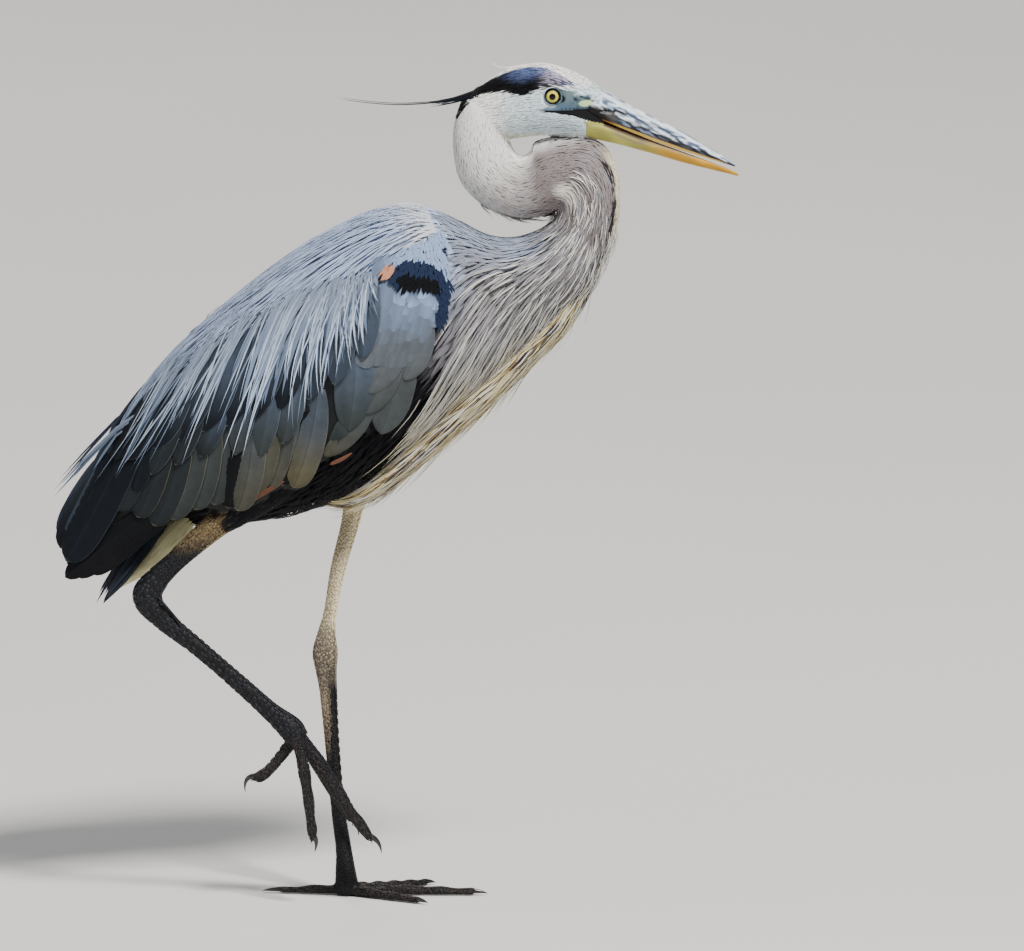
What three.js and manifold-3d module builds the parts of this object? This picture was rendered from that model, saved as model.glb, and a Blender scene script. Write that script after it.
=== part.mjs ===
// A great blue heron standing on its left leg with its right foot lifted, life size.
// Millimetres, +Z up. +X is the way the bill points and +Y is the bird's left.
// The origin is on the ground under the ball of the left foot.
import * as THREE from 'three';
import { mergeVertices } from 'three/addons/utils/BufferGeometryUtils.js';
import Module from 'manifold-3d';

const wasm = await Module();
wasm.setup();

// ---------------------------------------------------------------- driving dimensions
const GAP = 0.3; // clearance between touching parts
const SEAM = 0.04; // share of a station that a cut through the neck or a leg takes away
const REACH = 400; // longer than anything that is cut

const EYE_AT = [193, 14.5, 757]; // middle of the left eyeball
const EYE_RADIUS = 9;
const BILL_BASE = 240; // where the bill leaves the face

const MANTLE_DEPTH = 6; // thickness of the wing feathers over the back
const WING_DEPTH = 10; // thickness of the folded wing at the shoulder
const WING_TIP_DEPTH = 4; // and at its tip
const BACK_SLOT = 2; // half the space between the two wings along the spine

const TOE_PAD = 0.8; // how much of each toe's underside is pressed flat
const TOES = {
  middle: { length: 118, heading: -1, joints: 4, girth: 5.6, claw: 15 },
  inner: { length: 80, heading: -33, joints: 3, girth: 5.2, claw: 12 },
  outer: { length: 88, heading: 32, joints: 5, girth: 5.2, claw: 11 },
  hallux: { length: 60, heading: 172, joints: 2, girth: 5.0, claw: 20 },
};
const CLAW_GIRTH = 2.9;

// Sections of the neck and trunk: [back x, back z, front x, front z, half width].
// The neck drops behind the head, turns forward and up, then over and down to the breast.
const BODY = [
  [109, 753, 155, 730, 21],
  [100, 720, 154, 712, 22.5],
  [105, 678, 158, 702, 24],
  [126, 653, 162, 699, 24],
  [155, 639, 166, 698, 24],
  [179, 640, 171, 702, 24.5],
  [189, 643, 179, 713, 25.5],
  [192, 645, 214, 718, 26.5],
  [194, 646, 239, 710, 27],
  [195, 645, 253, 687, 27],
  [194, 642, 256, 661, 27],
  [191, 637, 254, 635, 28],
  [181, 630, 244, 604, 30],
  [158, 622, 228, 573, 35],
  [133, 624, 198, 546, 43],
  [107, 637, 179, 525, 50],
  [81, 648, 159, 506, 57],
  [51, 648, 136, 486, 62],
  [16, 637, 109, 465, 65],
  [-39, 607, 64, 425, 68],
  [-95, 566, 11, 383, 68],
  [-140, 525, -42, 361, 64],
  [-165, 474, -84, 354, 56],
  [-172, 432, -116, 349, 44],
  [-172, 400, -140, 350, 30],
  [-170, 378, -156, 352, 16],
];
const NECK_CUTS = [0, 5, 11, 15]; // stations where one length of the neck ends

// Sections of the head from nape to bill: [top x, top z, bottom x, bottom z, half width].
const HEAD = [
  [111, 745, 111, 728, 10],
  [119, 759, 123, 717, 17],
  [135, 771, 141, 713, 21.5],
  [150, 779, 158, 715, 23],
  [167, 784, 175, 717, 23.5],
  [186, 785, 189, 718, 23],
  [203, 781, 203, 718, 21.5],
  [219, 774, 217, 716, 18],
  [232, 766, 230, 715, 14],
  [BILL_BASE - GAP, 760, BILL_BASE - GAP, 713, 11.8],
];
const BILL_UPPER = [
  [BILL_BASE, 759.5, BILL_BASE, 731.4, 11.6],
  [256, 750.5, 256, 724.6, 9.5],
  [284, 735.5, 284, 713.2, 7],
  [312, 721, 312, 703.4, 4.8],
  [335, 707.5, 335, 696.3, 3.2],
  [351, 697.5, 351, 691.4, 2],
  [362, 690, 362, 687.9, 0.8],
];
const BILL_LOWER = [
  [BILL_BASE, 730.7, BILL_BASE, 712.2, 11],
  [256, 723.9, 256, 708.4, 9],
  [284, 712.5, 284, 700.6, 6.5],
  [312, 702.4, 312, 692.4, 4.6],
  [335, 693.8, 335, 686.4, 3.1],
  [351, 687.8, 351, 682.6, 2],
  [365, 681.5, 365, 679, 0.9],
];

// The whole outline of the two folded wings over the back, in sections like the body's.
const WINGS = [
  [81, 652, 165, 496, 60],
  [51, 653, 141, 476, 70],
  [14, 643, 114, 455, 76],
  [-42, 613, 70, 416, 79],
  [-98, 571, 16, 370, 79],
  [-144, 531, -42, 342, 75],
  [-177, 496, -93, 330, 68],
  [-205, 455, -140, 323, 59],
  [-223, 417, -172, 309, 50],
  [-245, 375, -209, 290, 41],
  [-263, 342, -239, 278, 33],
  [-274, 314, -262, 280, 25],
];
// Side outline of one folded wing, from the shoulder down the front and along the feather tips.
const WING_OUTLINE = [
  [60, 680], [84, 640], [93, 611], [96, 590], [91, 556], [79, 529], [60, 506], [58, 486], [50, 462],
  [37, 443], [20, 456], [2, 427], [-16, 421], [-42, 391], [-58, 396], [-92, 372], [-135, 371],
  [-167, 359], [-187, 350], [-205, 323], [-228, 301], [-247, 295], [-259, 299], [-266, 317],
  [-269, 337], [-262, 360], [-262, 480], [-160, 640],
];
// Where the scapular plumes, the coverts, the secondaries and the primaries part.
const SCAPULAR_LINE = [[110, 640], [47, 615], [21, 589], [-1, 549], [-42, 519], [-88, 481],
  [-153, 443], [-209, 415], [-262, 385]];
const COVERT_LINE = [[6, 575], [-2, 545], [-16, 495], [-21, 462], [-17, 420], [-12, 390]];
const PRIMARY_LINE = [[-290, 316], [-260, 320], [-228, 331], [-206, 345], [-190, 352], [-170, 351]];

const TAIL = [
  [-150, 398, -138, 375, 20],
  [-167, 372, -152, 352, 24],
  [-181, 351, -167, 334, 27],
  [-205, 318, -191, 305, 30],
  [-223, 290, -213, 282, 31],
  [-231, 275, -225, 271, 27],
];
const UNDERTAIL = [
  [-150, 366, -134, 344, 30],
  [-165, 352, -149, 328, 27],
  [-184, 328, -172, 307, 21],
  [-206, 300, -201, 294, 9],
];
// Long plumes that hang down the foreneck and over the breast.
const BREAST_PLUMES = [
  [236, 612, 243, 600, 9],
  [211, 582, 228, 571, 16],
  [189, 553, 207, 537, 22],
  [171, 535, 187, 516, 26],
  [130, 497, 144, 473, 31],
  [98, 467, 111, 444, 31],
  [61, 433, 74, 412, 28],
  [26, 402, 37, 383, 22],
  [1, 380, 7, 366, 14],
  [-14, 366, -15, 359, 6],
];
const CREST = [[128, 760], [98, 751], [70, 747.5], [42, 747], [14, 749.5], [-8, 753]];
const CREST_RADIUS = [1.5, 0.45]; // at the nape and at the tip
const CREST_SPLAY = [1.9, 5]; // how far each plume is from the middle, at the nape and at the tip

// Limbs: [x, y, z, radius along the stride, radius across].
const LEFT_THIGH = [[26, 36, 424, 17, 17], [18, 36, 402, 17, 16], [12, 34, 382, 13.5, 13], [8, 32, 366, 10.5, 10]];
const LEFT_SHANK = [
  [8, 32, 366, 10.3, 9.6],
  [4, 30, 345, 8.6, 7.8],
  [-7, 25, 304, 7.3, 7],
  [-14, 20, 266, 6.2, 6.2],
  [-18, 17, 243, 8.8, 8],
];
const LEFT_TARSUS = [
  [-18, 17, 243, 9, 8.2],
  [-19, 14, 227, 12, 11],
  [-18, 13, 210, 10, 8.8],
  [-16, 12, 190, 8.4, 7.2],
  [-12, 8, 137, 7, 6.2],
  [-7, 4, 81, 6.8, 6.2],
  [-2, 2, 44, 7.6, 7],
  [0, 0, 21, 9.8, 9.6],
  [1, 0, 9, 11, 11.5],
  [1, 0, -1, 9.5, 10],
];
const RIGHT_THIGH = [
  [-48, -36, 418, 26, 22],
  [-77, -38, 392, 22, 20],
  [-100, -41, 373, 16.5, 15.5],
  [-116, -42, 361, 13, 12],
];
const RIGHT_SHANK = [
  [-116, -42, 361, 12.7, 11.7],
  [-135, -44, 345, 11.2, 10],
  [-158, -46, 324, 9.8, 8.8],
  [-173, -47.5, 310, 11, 9.5],
];
const RIGHT_TARSUS = [
  [-173, -47.5, 310, 11, 9.5],
  [-184, -48, 292, 13.8, 12],
  [-172, -47, 272, 10.4, 9.2],
  [-135, -46, 241, 8.2, 7.2],
  [-98, -44, 208, 8.2, 7.2],
  [-70, -42, 182, 9, 8],
  [-52, -40, 166, 12, 11.5],
  [-45, -40, 157, 11, 11],
];
const RIGHT_TOES = {
  middle: [[-46, -40, 160, 7.6, 7.4], [-28, -40, 138, 6.8, 6.6], [-14, -40, 116, 6.6, 6.4],
    [0, -39, 93, 5.6, 5.4], [17, -38, 69, 4.6, 4.6], [24, -38, 60, 3.4, 3.4]],
  outer: [[-45, -46, 158, 6.4, 6.4], [-38, -52, 125, 5.8, 5.6], [-34, -56, 101, 5.2, 5],
    [-32, -58, 80, 4.6, 4.4], [-30, -59, 66, 3.4, 3.3]],
  inner: [[-42, -34, 156, 6.2, 6.2], [-22, -23, 120, 5.5, 5.2], [-8, -17, 95, 4.8, 4.7],
    [4, -14, 76, 3.4, 3.4]],
  hallux: [[-47, -38, 156, 6.4, 6.2], [-60, -36, 138, 5.8, 5.6], [-73, -36, 123, 5.2, 5],
    [-83, -36, 116, 3.8, 3.7]],
};
const RIGHT_CLAWS = {
  middle: [[24.4, -38, 59.5], [31, -38, 52], [34, -38, 42]],
  outer: [[-30, -59, 65.4], [-28.5, -59.3, 57], [-30, -59.5, 49]],
  inner: [[4.3, -13.9, 75.4], [10, -13, 68], [12, -13, 59]],
  hallux: [[-83.5, -36, 115.6], [-92, -36, 110.5], [-95, -36, 98]],
};

const COLOURS = {
  head: '#f1f0ec', crest: '#15161c', eye: '#e8c81e', billUpper: '#3f4656', billLower: '#c39a3a',
  neck: '#b6adb0', trunk: '#5d6673', plumes: '#dcd8cc', scapulars: '#a7b3c4', coverts: '#8a93a0',
  secondaries: '#4a5261', primaries: '#23262e', tail: '#4a5365', undertail: '#e8e2d2',
  thigh: '#a2714a', paleShank: '#cdb892', darkShank: '#3a342f', paleTarsus: '#6f6152',
  darkTarsus: '#1d2025', toe: '#1b1c1f', claw: '#0e0e10',
};

// ---------------------------------------------------------------- making and cutting solids

/** A smooth curve that passes each of its points at an even share of its length. */
function curveThrough(points) {
  const places = points.map(([x, y, z]) => new THREE.Vector3(x, y, z));
  return new THREE.CatmullRomCurve3(places, false, 'catmullrom', 0.5);
}

/** Widens a circle's sine or cosine into a squarer one. */
function squared(value, square) {
  return Math.sign(value) * Math.abs(value) ** (2 / square);
}

/** A closed tube whose every point is put in place by a function of its share along and its round. */
function wrap(sides, rings, place) {
  const geometry = new THREE.CylinderGeometry(1, 1, 1, sides, rings);
  const at = geometry.attributes.position;
  for (let i = 0; i < at.count; i += 1) {
    const along = Math.round((at.getY(i) + 0.5) * rings) / rings;
    const point = place(along, at.getX(i), at.getZ(i));
    at.setXYZ(i, point.x, point.y, point.z);
  }
  return geometry;
}

/** How far a grown shape's two ends are moved out. */
function endShift(along, grow) {
  if (along === 0) return -grow;
  return along === 1 ? grow : 0;
}

/** A body through slanted oval sections: [top x, top z, bottom x, bottom z, half width]. */
function slices(stations, options = {}) {
  const { sides = 18, perStation = 1.25, first = 0, last = stations.length - 1 } = options;
  const { grow = 0, square = 2, egg = 0 } = options;
  const tops = curveThrough(stations.map(([x, z]) => [x, 0, z]));
  const bottoms = curveThrough(stations.map(([, , x, z]) => [x, 0, z]));
  const widths = curveThrough(stations.map(([, , , , width]) => [width, 0, 0]));
  const middle = (share) => tops.getPoint(share).add(bottoms.getPoint(share)).multiplyScalar(0.5);
  const rings = Math.max(1, Math.round((last - first) * perStation));
  return wrap(sides, rings, (along, sine, cosine) => {
    const share = (first + (last - first) * along) / (stations.length - 1);
    const centre = middle(share);
    const rise = tops.getPoint(share).sub(centre);
    const height = rise.length() + grow;
    rise.normalize();
    const lead = new THREE.Vector3(rise.z, 0, -rise.x).multiplyScalar(endShift(along, grow));
    const facing = middle(Math.min(share + 0.01, 1)).sub(middle(Math.max(share - 0.01, 0)));
    if (lead.dot(facing) * endShift(along, 1) < 0) lead.negate();
    const width = widths.getPoint(share).x + grow;
    const up = squared(cosine, square);
    return centre.add(lead)
      .addScaledVector(rise, height * up)
      .add(new THREE.Vector3(0, width * squared(sine, square) * (1 + egg * up), 0));
  });
}

/** A limb with oval sections square to its middle line: [x, y, z, radius in the stride, radius across]. */
function limb(stations, options = {}) {
  const { sides = 8, perStation = 1.2, grow = 0 } = options;
  const spine = curveThrough(stations);
  const radii = curveThrough(stations.map(([, , , inStride, across]) => [inStride, across, 0]));
  const rings = Math.round((stations.length - 1) * perStation);
  return wrap(sides, rings, (along, sine, cosine) => {
    const tangent = spine.getTangent(along);
    const across = new THREE.Vector3(0, 1, 0).addScaledVector(tangent, -tangent.y).normalize();
    const inStride = new THREE.Vector3().crossVectors(across, tangent);
    const radius = radii.getPoint(along);
    return spine.getPoint(along)
      .addScaledVector(tangent, endShift(along, grow))
      .addScaledVector(inStride, (radius.x + grow) * cosine)
      .addScaledVector(across, (radius.y + grow) * sine);
  });
}

/** Six times the volume inside an indexed mesh, negative where its faces point in. */
function signedVolume(positions, index) {
  const corner = (i) => new THREE.Vector3().fromArray(positions, index[i] * 3);
  let total = 0;
  for (let i = 0; i < index.length; i += 3) {
    total += corner(i).dot(corner(i + 1).cross(corner(i + 2)));
  }
  return total;
}

/** A solid from a closed mesh, with its faces pointing out. */
function solidOf(geometry) {
  const bare = geometry.clone();
  bare.deleteAttribute('normal');
  bare.deleteAttribute('uv');
  const merged = mergeVertices(bare, 1e-4);
  const positions = merged.attributes.position.array;
  const index = Uint32Array.from(merged.index.array);
  if (signedVolume(positions, index) < 0) {
    for (let i = 0; i < index.length; i += 3) {
      [index[i], index[i + 1]] = [index[i + 1], index[i]];
    }
  }
  return new wasm.Manifold(new wasm.Mesh({ numProp: 3, vertProperties: positions, triVerts: index }));
}

/** The biggest single body of a cut solid. */
function mainBody(solid) {
  const bodies = solid.decompose().sort((a, b) => b.volume() - a.volume());
  return bodies[0];
}

function geometryOf(solid) {
  const mesh = solid.getMesh();
  const geometry = new THREE.BufferGeometry();
  geometry.setAttribute('position', new THREE.BufferAttribute(Float32Array.from(mesh.vertProperties), 3));
  geometry.setIndex([...mesh.triVerts]);
  geometry.computeVertexNormals();
  return geometry;
}

/** A solid less each of the others. */
function less(solid, ...others) {
  return mainBody(others.reduce((left, other) => left.subtract(other), solid));
}

/** The same solid on the other side of the bird. */
function mirrored(solid) {
  const geometry = geometryOf(solid);
  geometry.scale(1, -1, 1);
  return solidOf(geometry);
}

/** A wall with a given side outline, between two distances to the right of the bird's middle. */
function sideWall(outline, near, far) {
  const shape = new THREE.Shape(outline.map(([x, z]) => new THREE.Vector2(x, z)));
  const geometry = new THREE.ExtrudeGeometry(shape, { depth: far - near, bevelEnabled: false });
  geometry.rotateX(Math.PI / 2);
  geometry.translate(0, -near, 0);
  return solidOf(geometry);
}

/** A thin upright blade that follows a line drawn on the bird's side. */
function knife(line) {
  const path = curveThrough(line.map(([x, z]) => [x, z, 0]));
  const steps = (line.length - 1) * 2;
  const edge = (offset) => Array.from({ length: steps + 1 }, (_, i) => {
    const point = path.getPoint(i / steps);
    const tangent = path.getTangent(i / steps);
    return [point.x - tangent.y * offset, point.y + tangent.x * offset];
  });
  return sideWall([...edge(GAP / 2), ...edge(-GAP / 2).reverse()], -REACH, REACH);
}

// ---------------------------------------------------------------- the model

const group = new THREE.Group();

function add(name, solid, colour, roughness = 0.8) {
  const material = new THREE.MeshStandardMaterial({ color: colour, roughness, metalness: 0 });
  const mesh = new THREE.Mesh(geometryOf(solid), material);
  mesh.name = name;
  group.add(mesh);
}

/** Head with its two eye sockets, the eyes and the bill. */
function makeHead() {
  const shape = { square: 2.15, egg: -0.05, sides: 16 };
  const eyeball = (side, grow) => {
    const ball = new THREE.SphereGeometry(EYE_RADIUS + grow, 12, 8);
    ball.translate(EYE_AT[0], EYE_AT[1] * side, EYE_AT[2]);
    return solidOf(ball);
  };
  const skull = solidOf(slices(HEAD, shape));
  add('head', less(skull, eyeball(1, GAP), eyeball(-1, GAP)), COLOURS.head);
  add('eye_left', eyeball(1, 0), COLOURS.eye, 0.15);
  add('eye_right', eyeball(-1, 0), COLOURS.eye, 0.15);
  const upper = solidOf(slices(BILL_UPPER, { sides: 12, square: 2.5, egg: -0.45 }));
  const lower = solidOf(slices(BILL_LOWER, { sides: 12, square: 2.5, egg: 0.35 }));
  add('bill_upper', upper, COLOURS.billUpper, 0.45);
  add('bill_lower', less(lower, solidOf(slices(BILL_UPPER, { sides: 12, square: 2.5, egg: -0.45, grow: GAP }))),
    COLOURS.billLower, 0.45);
  return solidOf(slices(HEAD, { ...shape, grow: GAP }));
}

/** Two long black plumes that trail from the nape. */
function makeCrest(headSpace) {
  for (const [name, side] of [['crest_left', 1], ['crest_right', -1]]) {
    const stations = CREST.map(([x, z], i) => {
      const share = i / (CREST.length - 1);
      const radius = THREE.MathUtils.lerp(...CREST_RADIUS, share);
      return [x, side * THREE.MathUtils.lerp(...CREST_SPLAY, share), z - side * share * 2, radius, radius];
    });
    add(name, less(solidOf(limb(stations, { sides: 6, perStation: 2 })), headSpace), COLOURS.crest);
  }
}

/** The neck in three lengths, then the trunk, and the space that the last two take up. */
function makeNeckAndTrunk(headSpace) {
  const lengths = ['neck_upper', 'neck_middle', 'neck_lower', 'trunk'].map((name, i) => {
    const first = NECK_CUTS[i] + SEAM / 2;
    const last = (NECK_CUTS[i + 1] ?? BODY.length - 1 + SEAM / 2) - SEAM / 2;
    return { name, shape: (grow) => solidOf(slices(BODY, { first, last, grow, sides: 20 })) };
  });
  for (const { name, shape } of lengths) {
    add(name, less(shape(0), headSpace), name === 'trunk' ? COLOURS.trunk : COLOURS.neck);
  }
  const [, , lower, trunk] = lengths;
  return lower.shape(GAP).add(trunk.shape(GAP));
}

/** A wing's four groups of feathers, parted by thin cuts from one folded shell. */
function makeWings(bodySpace) {
  const form = { sides: 22, square: 2.2, egg: 0.06, perStation: 1 };
  const inner = WINGS.map(([topX, topZ, bottomX, bottomZ, width], i) => {
    const depth = THREE.MathUtils.lerp(WING_DEPTH, WING_TIP_DEPTH, i / (WINGS.length - 1));
    const fall = new THREE.Vector2(bottomX - topX, bottomZ - topZ).normalize();
    return [topX + fall.x * MANTLE_DEPTH, topZ + fall.y * MANTLE_DEPTH,
      bottomX + fall.x * MANTLE_DEPTH * 2, bottomZ + fall.y * MANTLE_DEPTH * 2, width - depth];
  });
  const outside = (grow) => solidOf(slices(WINGS, { ...form, grow }));
  const inside = (grow) => solidOf(slices(inner, { ...form, grow: grow + 1e-3 }));
  const shell = outside(0).subtract(inside(0)).subtract(bodySpace);
  const side = shell.intersect(sideWall(WING_OUTLINE, BACK_SLOT, REACH));
  const cuts = [SCAPULAR_LINE, COVERT_LINE, PRIMARY_LINE].map(knife);
  const pieces = cuts.reduce((left, blade) => left.subtract(blade), side).decompose()
    .sort((a, b) => b.volume() - a.volume()).slice(0, 4);
  const middleOf = (solid) => {
    const box = solid.boundingBox();
    return { x: (box.min[0] + box.max[0]) / 2, z: (box.min[2] + box.max[2]) / 2 };
  };
  pieces.sort((a, b) => middleOf(a).x - middleOf(b).x);
  const groups = [
    ['primaries', pieces[0], COLOURS.primaries],
    ['secondaries', pieces[1], COLOURS.secondaries],
    ['scapulars', pieces[2], COLOURS.scapulars],
    ['coverts', pieces[3], COLOURS.coverts],
  ];
  for (const [name, piece, colour] of groups) {
    add(`${name}_right`, piece, colour);
    add(`${name}_left`, mirrored(piece), colour);
  }
  return outside(GAP).subtract(inside(-GAP));
}

/** Tail fan, undertail coverts and the plumes on the breast. */
function makeTailAndPlumes(bodySpace, wingSpace) {
  const fan = { square: 3, sides: 12, perStation: 1 };
  add('tail', less(solidOf(slices(TAIL, fan)), bodySpace, wingSpace), COLOURS.tail);
  const tailSpace = solidOf(slices(TAIL, { ...fan, grow: GAP }));
  const undertail = less(solidOf(slices(UNDERTAIL, { sides: 12, perStation: 1 })), bodySpace, wingSpace, tailSpace);
  add('undertail', undertail, COLOURS.undertail);
  add('breast_plumes', less(solidOf(slices(BREAST_PLUMES, { sides: 14, perStation: 1 })), bodySpace), COLOURS.plumes);
  return solidOf(slices(UNDERTAIL, { sides: 12, perStation: 1, grow: GAP }));
}

/** Middle line of a claw that leaves a toe's tip and hooks down to a point. */
function clawStations(points) {
  const radii = [1, 0.75, 0.15];
  return points.map((point, i) => [...point, CLAW_GIRTH * radii[i], CLAW_GIRTH * 0.8 * radii[i]]);
}

/** Stations of a toe that lies on the ground, thicker at each of its joints. */
function groundToe({ length, heading, joints, girth }) {
  const turn = THREE.MathUtils.degToRad(heading);
  const steps = joints * 2;
  return Array.from({ length: steps + 1 }, (_, i) => {
    const share = i / steps;
    const swell = i % 2 === 0 ? 1.08 : 0.94;
    const radius = girth * swell * THREE.MathUtils.lerp(1.15, 0.66, share);
    const reach = length * share;
    return [reach * Math.cos(turn), reach * Math.sin(turn), radius - TOE_PAD, radius, radius];
  });
}

/** The claw of a toe that lies on the ground. */
function groundClaw({ length, heading, girth, claw }) {
  const turn = THREE.MathUtils.degToRad(heading);
  const base = girth * 0.66;
  const at = (reach, height) => [reach * Math.cos(turn), reach * Math.sin(turn), height];
  return clawStations([
    at(length + GAP * 2, base), at(length + claw * 0.6, base * 1.05), at(length + claw, 0.9),
  ]);
}

/** Adds a chain of limb solids, each cut by the space of what comes before it. */
function addCut(name, make, spaces, colour, roughness = 0.6) {
  add(name, less(make(0), ...spaces), colour, roughness);
  spaces.push(make(GAP));
}

/** The left leg, which carries the bird, with its foot flat on the ground. */
function makeLeftLeg(spaces) {
  const ground = new THREE.BoxGeometry(REACH, REACH, REACH);
  ground.translate(0, 0, -REACH / 2);
  const floor = solidOf(ground);
  const taken = [...spaces, floor];
  addCut('tarsus_left', (grow) => solidOf(limb(LEFT_TARSUS, { sides: 10, perStation: 1, grow })), taken, COLOURS.paleTarsus);
  addCut('shank_left', (grow) => solidOf(limb(LEFT_SHANK, { grow })), taken, COLOURS.paleShank);
  addCut('thigh_left', (grow) => solidOf(limb(LEFT_THIGH, { grow })), taken, COLOURS.thigh);
  for (const [name, toe] of Object.entries(TOES)) {
    addCut(`toe_${name}_left`, (grow) => solidOf(limb(groundToe(toe), { sides: 7, perStation: 1, grow })), taken, COLOURS.toe);
    addCut(`claw_${name}_left`, (grow) => solidOf(limb(groundClaw(toe), { sides: 6, grow })), taken, COLOURS.claw);
  }
}

/** The right leg, lifted behind, with its toes hanging. */
function makeRightLeg(spaces) {
  const taken = [...spaces];
  addCut('tarsus_right', (grow) => solidOf(limb(RIGHT_TARSUS, { sides: 10, grow })), taken, COLOURS.darkTarsus);
  addCut('shank_right', (grow) => solidOf(limb(RIGHT_SHANK, { grow })), taken, COLOURS.darkShank);
  addCut('thigh_right', (grow) => solidOf(limb(RIGHT_THIGH, { grow })), taken, COLOURS.thigh);
  for (const [name, stations] of Object.entries(RIGHT_TOES)) {
    addCut(`toe_${name}_right`, (grow) => solidOf(limb(stations, { grow })), taken, COLOURS.toe);
    const claw = clawStations(RIGHT_CLAWS[name]);
    addCut(`claw_${name}_right`, (grow) => solidOf(limb(claw, { sides: 6, grow })), taken, COLOURS.claw);
  }
}

const headSpace = makeHead();
makeCrest(headSpace);
const bodySpace = makeNeckAndTrunk(headSpace);
const wingSpace = makeWings(bodySpace);
const undertailSpace = makeTailAndPlumes(bodySpace, wingSpace);
const plumeSpace = solidOf(slices(BREAST_PLUMES, { sides: 14, perStation: 1, grow: GAP }));
makeLeftLeg([bodySpace, wingSpace, plumeSpace]);
makeRightLeg([bodySpace, wingSpace, undertailSpace]);

export default group;
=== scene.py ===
"""A great blue heron, life size, standing on its left leg with the right foot lifted.

Metres, +Z up. +X is the way the bill points, +Y is the bird's left. The skin and every feather
are laid on smooth forms that follow the same stations as the solids of the frame.
"""
import math

import bmesh
import bpy
import numpy as np
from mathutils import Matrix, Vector
from mathutils.bvhtree import BVHTree
from mathutils.kdtree import KDTree


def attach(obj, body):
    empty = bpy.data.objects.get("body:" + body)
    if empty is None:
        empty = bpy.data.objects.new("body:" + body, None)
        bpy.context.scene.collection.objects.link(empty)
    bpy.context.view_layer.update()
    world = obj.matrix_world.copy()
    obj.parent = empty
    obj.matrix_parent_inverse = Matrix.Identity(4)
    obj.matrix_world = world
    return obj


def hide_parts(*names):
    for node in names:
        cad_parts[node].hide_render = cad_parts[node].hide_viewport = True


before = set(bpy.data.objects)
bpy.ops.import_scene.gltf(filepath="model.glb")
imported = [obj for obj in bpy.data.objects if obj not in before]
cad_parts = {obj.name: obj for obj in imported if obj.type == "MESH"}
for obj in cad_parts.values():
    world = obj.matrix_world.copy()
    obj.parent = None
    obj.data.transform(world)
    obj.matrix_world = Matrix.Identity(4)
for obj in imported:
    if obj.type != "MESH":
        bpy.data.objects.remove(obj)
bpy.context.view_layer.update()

MM = 0.001
TAU = 2 * math.pi
WELD = 1e-6  # points nearer than this are one
MIRROR = np.array([1, -1, 1])
LEFT = np.array([0.0, 1.0, 0.0])
SIDES = (("left", 1), ("right", -1))
SOLE = 2.6 * MM  # height up to which the feet are pressed flat
SUNK = 2.5 * MM  # how far below the floor round toes would reach

# ==== driving dimensions, in millimetres

# Sections of the neck and trunk: back x, back z, front x, front z, half width.
BODY_STATIONS = [
    (109, 753, 155, 730, 21), (100, 720, 154, 712, 22.5), (105, 678, 158, 702, 24),
    (126, 653, 162, 699, 24), (155, 639, 166, 698, 24), (179, 640, 171, 702, 24.5),
    (189, 643, 179, 713, 25.5), (192, 645, 214, 718, 26.5), (194, 646, 239, 710, 27),
    (195, 645, 253, 687, 27), (194, 642, 256, 661, 27), (191, 637, 254, 635, 28),
    (181, 630, 244, 604, 30), (158, 622, 228, 573, 35), (133, 624, 198, 546, 43),
    (107, 637, 179, 525, 50), (81, 648, 159, 506, 57), (51, 648, 136, 486, 62), (16, 637, 109, 465, 65),
    (-39, 607, 64, 425, 68), (-95, 566, 11, 383, 68), (-140, 525, -42, 361, 64),
    (-165, 474, -84, 354, 56), (-172, 432, -116, 349, 44), (-172, 400, -140, 350, 30),
    (-170, 378, -156, 352, 16),
]
HEAD_STATIONS = [
    (111, 745, 111, 728, 10), (119, 759, 123, 717, 17), (135, 771, 141, 713, 21.5),
    (150, 779, 158, 715, 23), (167, 784, 175, 717, 23.5), (186, 785, 189, 718, 23),
    (203, 781, 203, 718, 21.5), (219, 774, 217, 716, 18), (232, 766, 230, 715, 14),
    (239.7, 760, 239.7, 713, 11.8),
]
BILL_BASE = 240
UPPER_BILL_STATIONS = [
    (226, 764, 226, 739, 13.6), (BILL_BASE, 759.5, BILL_BASE, 731.4, 11.6),
    (256, 750.5, 256, 724.6, 9.5), (284, 735.5, 284, 713.2, 7), (312, 721, 312, 703.4, 4.8),
    (335, 707.5, 335, 696.3, 3.2), (351, 697.5, 351, 691.4, 2), (362, 690, 362, 687.9, 0.8),
]
LOWER_BILL_STATIONS = [
    (224, 736, 224, 716, 12.6), (BILL_BASE, 730.7, BILL_BASE, 712.2, 11), (256, 723.9, 256, 708.4, 9),
    (284, 712.5, 284, 700.6, 6.5), (312, 702.4, 312, 692.4, 4.6), (335, 693.8, 335, 686.4, 3.1),
    (351, 687.8, 351, 682.6, 2), (365, 681.5, 365, 679, 0.9),
]
WING_STATIONS = [
    (81, 652, 165, 496, 60), (51, 653, 141, 476, 70), (14, 643, 114, 455, 76), (-42, 613, 70, 416, 79),
    (-98, 571, 16, 370, 79), (-144, 531, -42, 342, 75), (-177, 496, -93, 330, 68),
    (-205, 455, -140, 323, 59), (-223, 417, -172, 309, 50), (-245, 375, -209, 290, 41),
    (-263, 342, -239, 278, 33), (-274, 314, -262, 280, 25),
]
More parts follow.
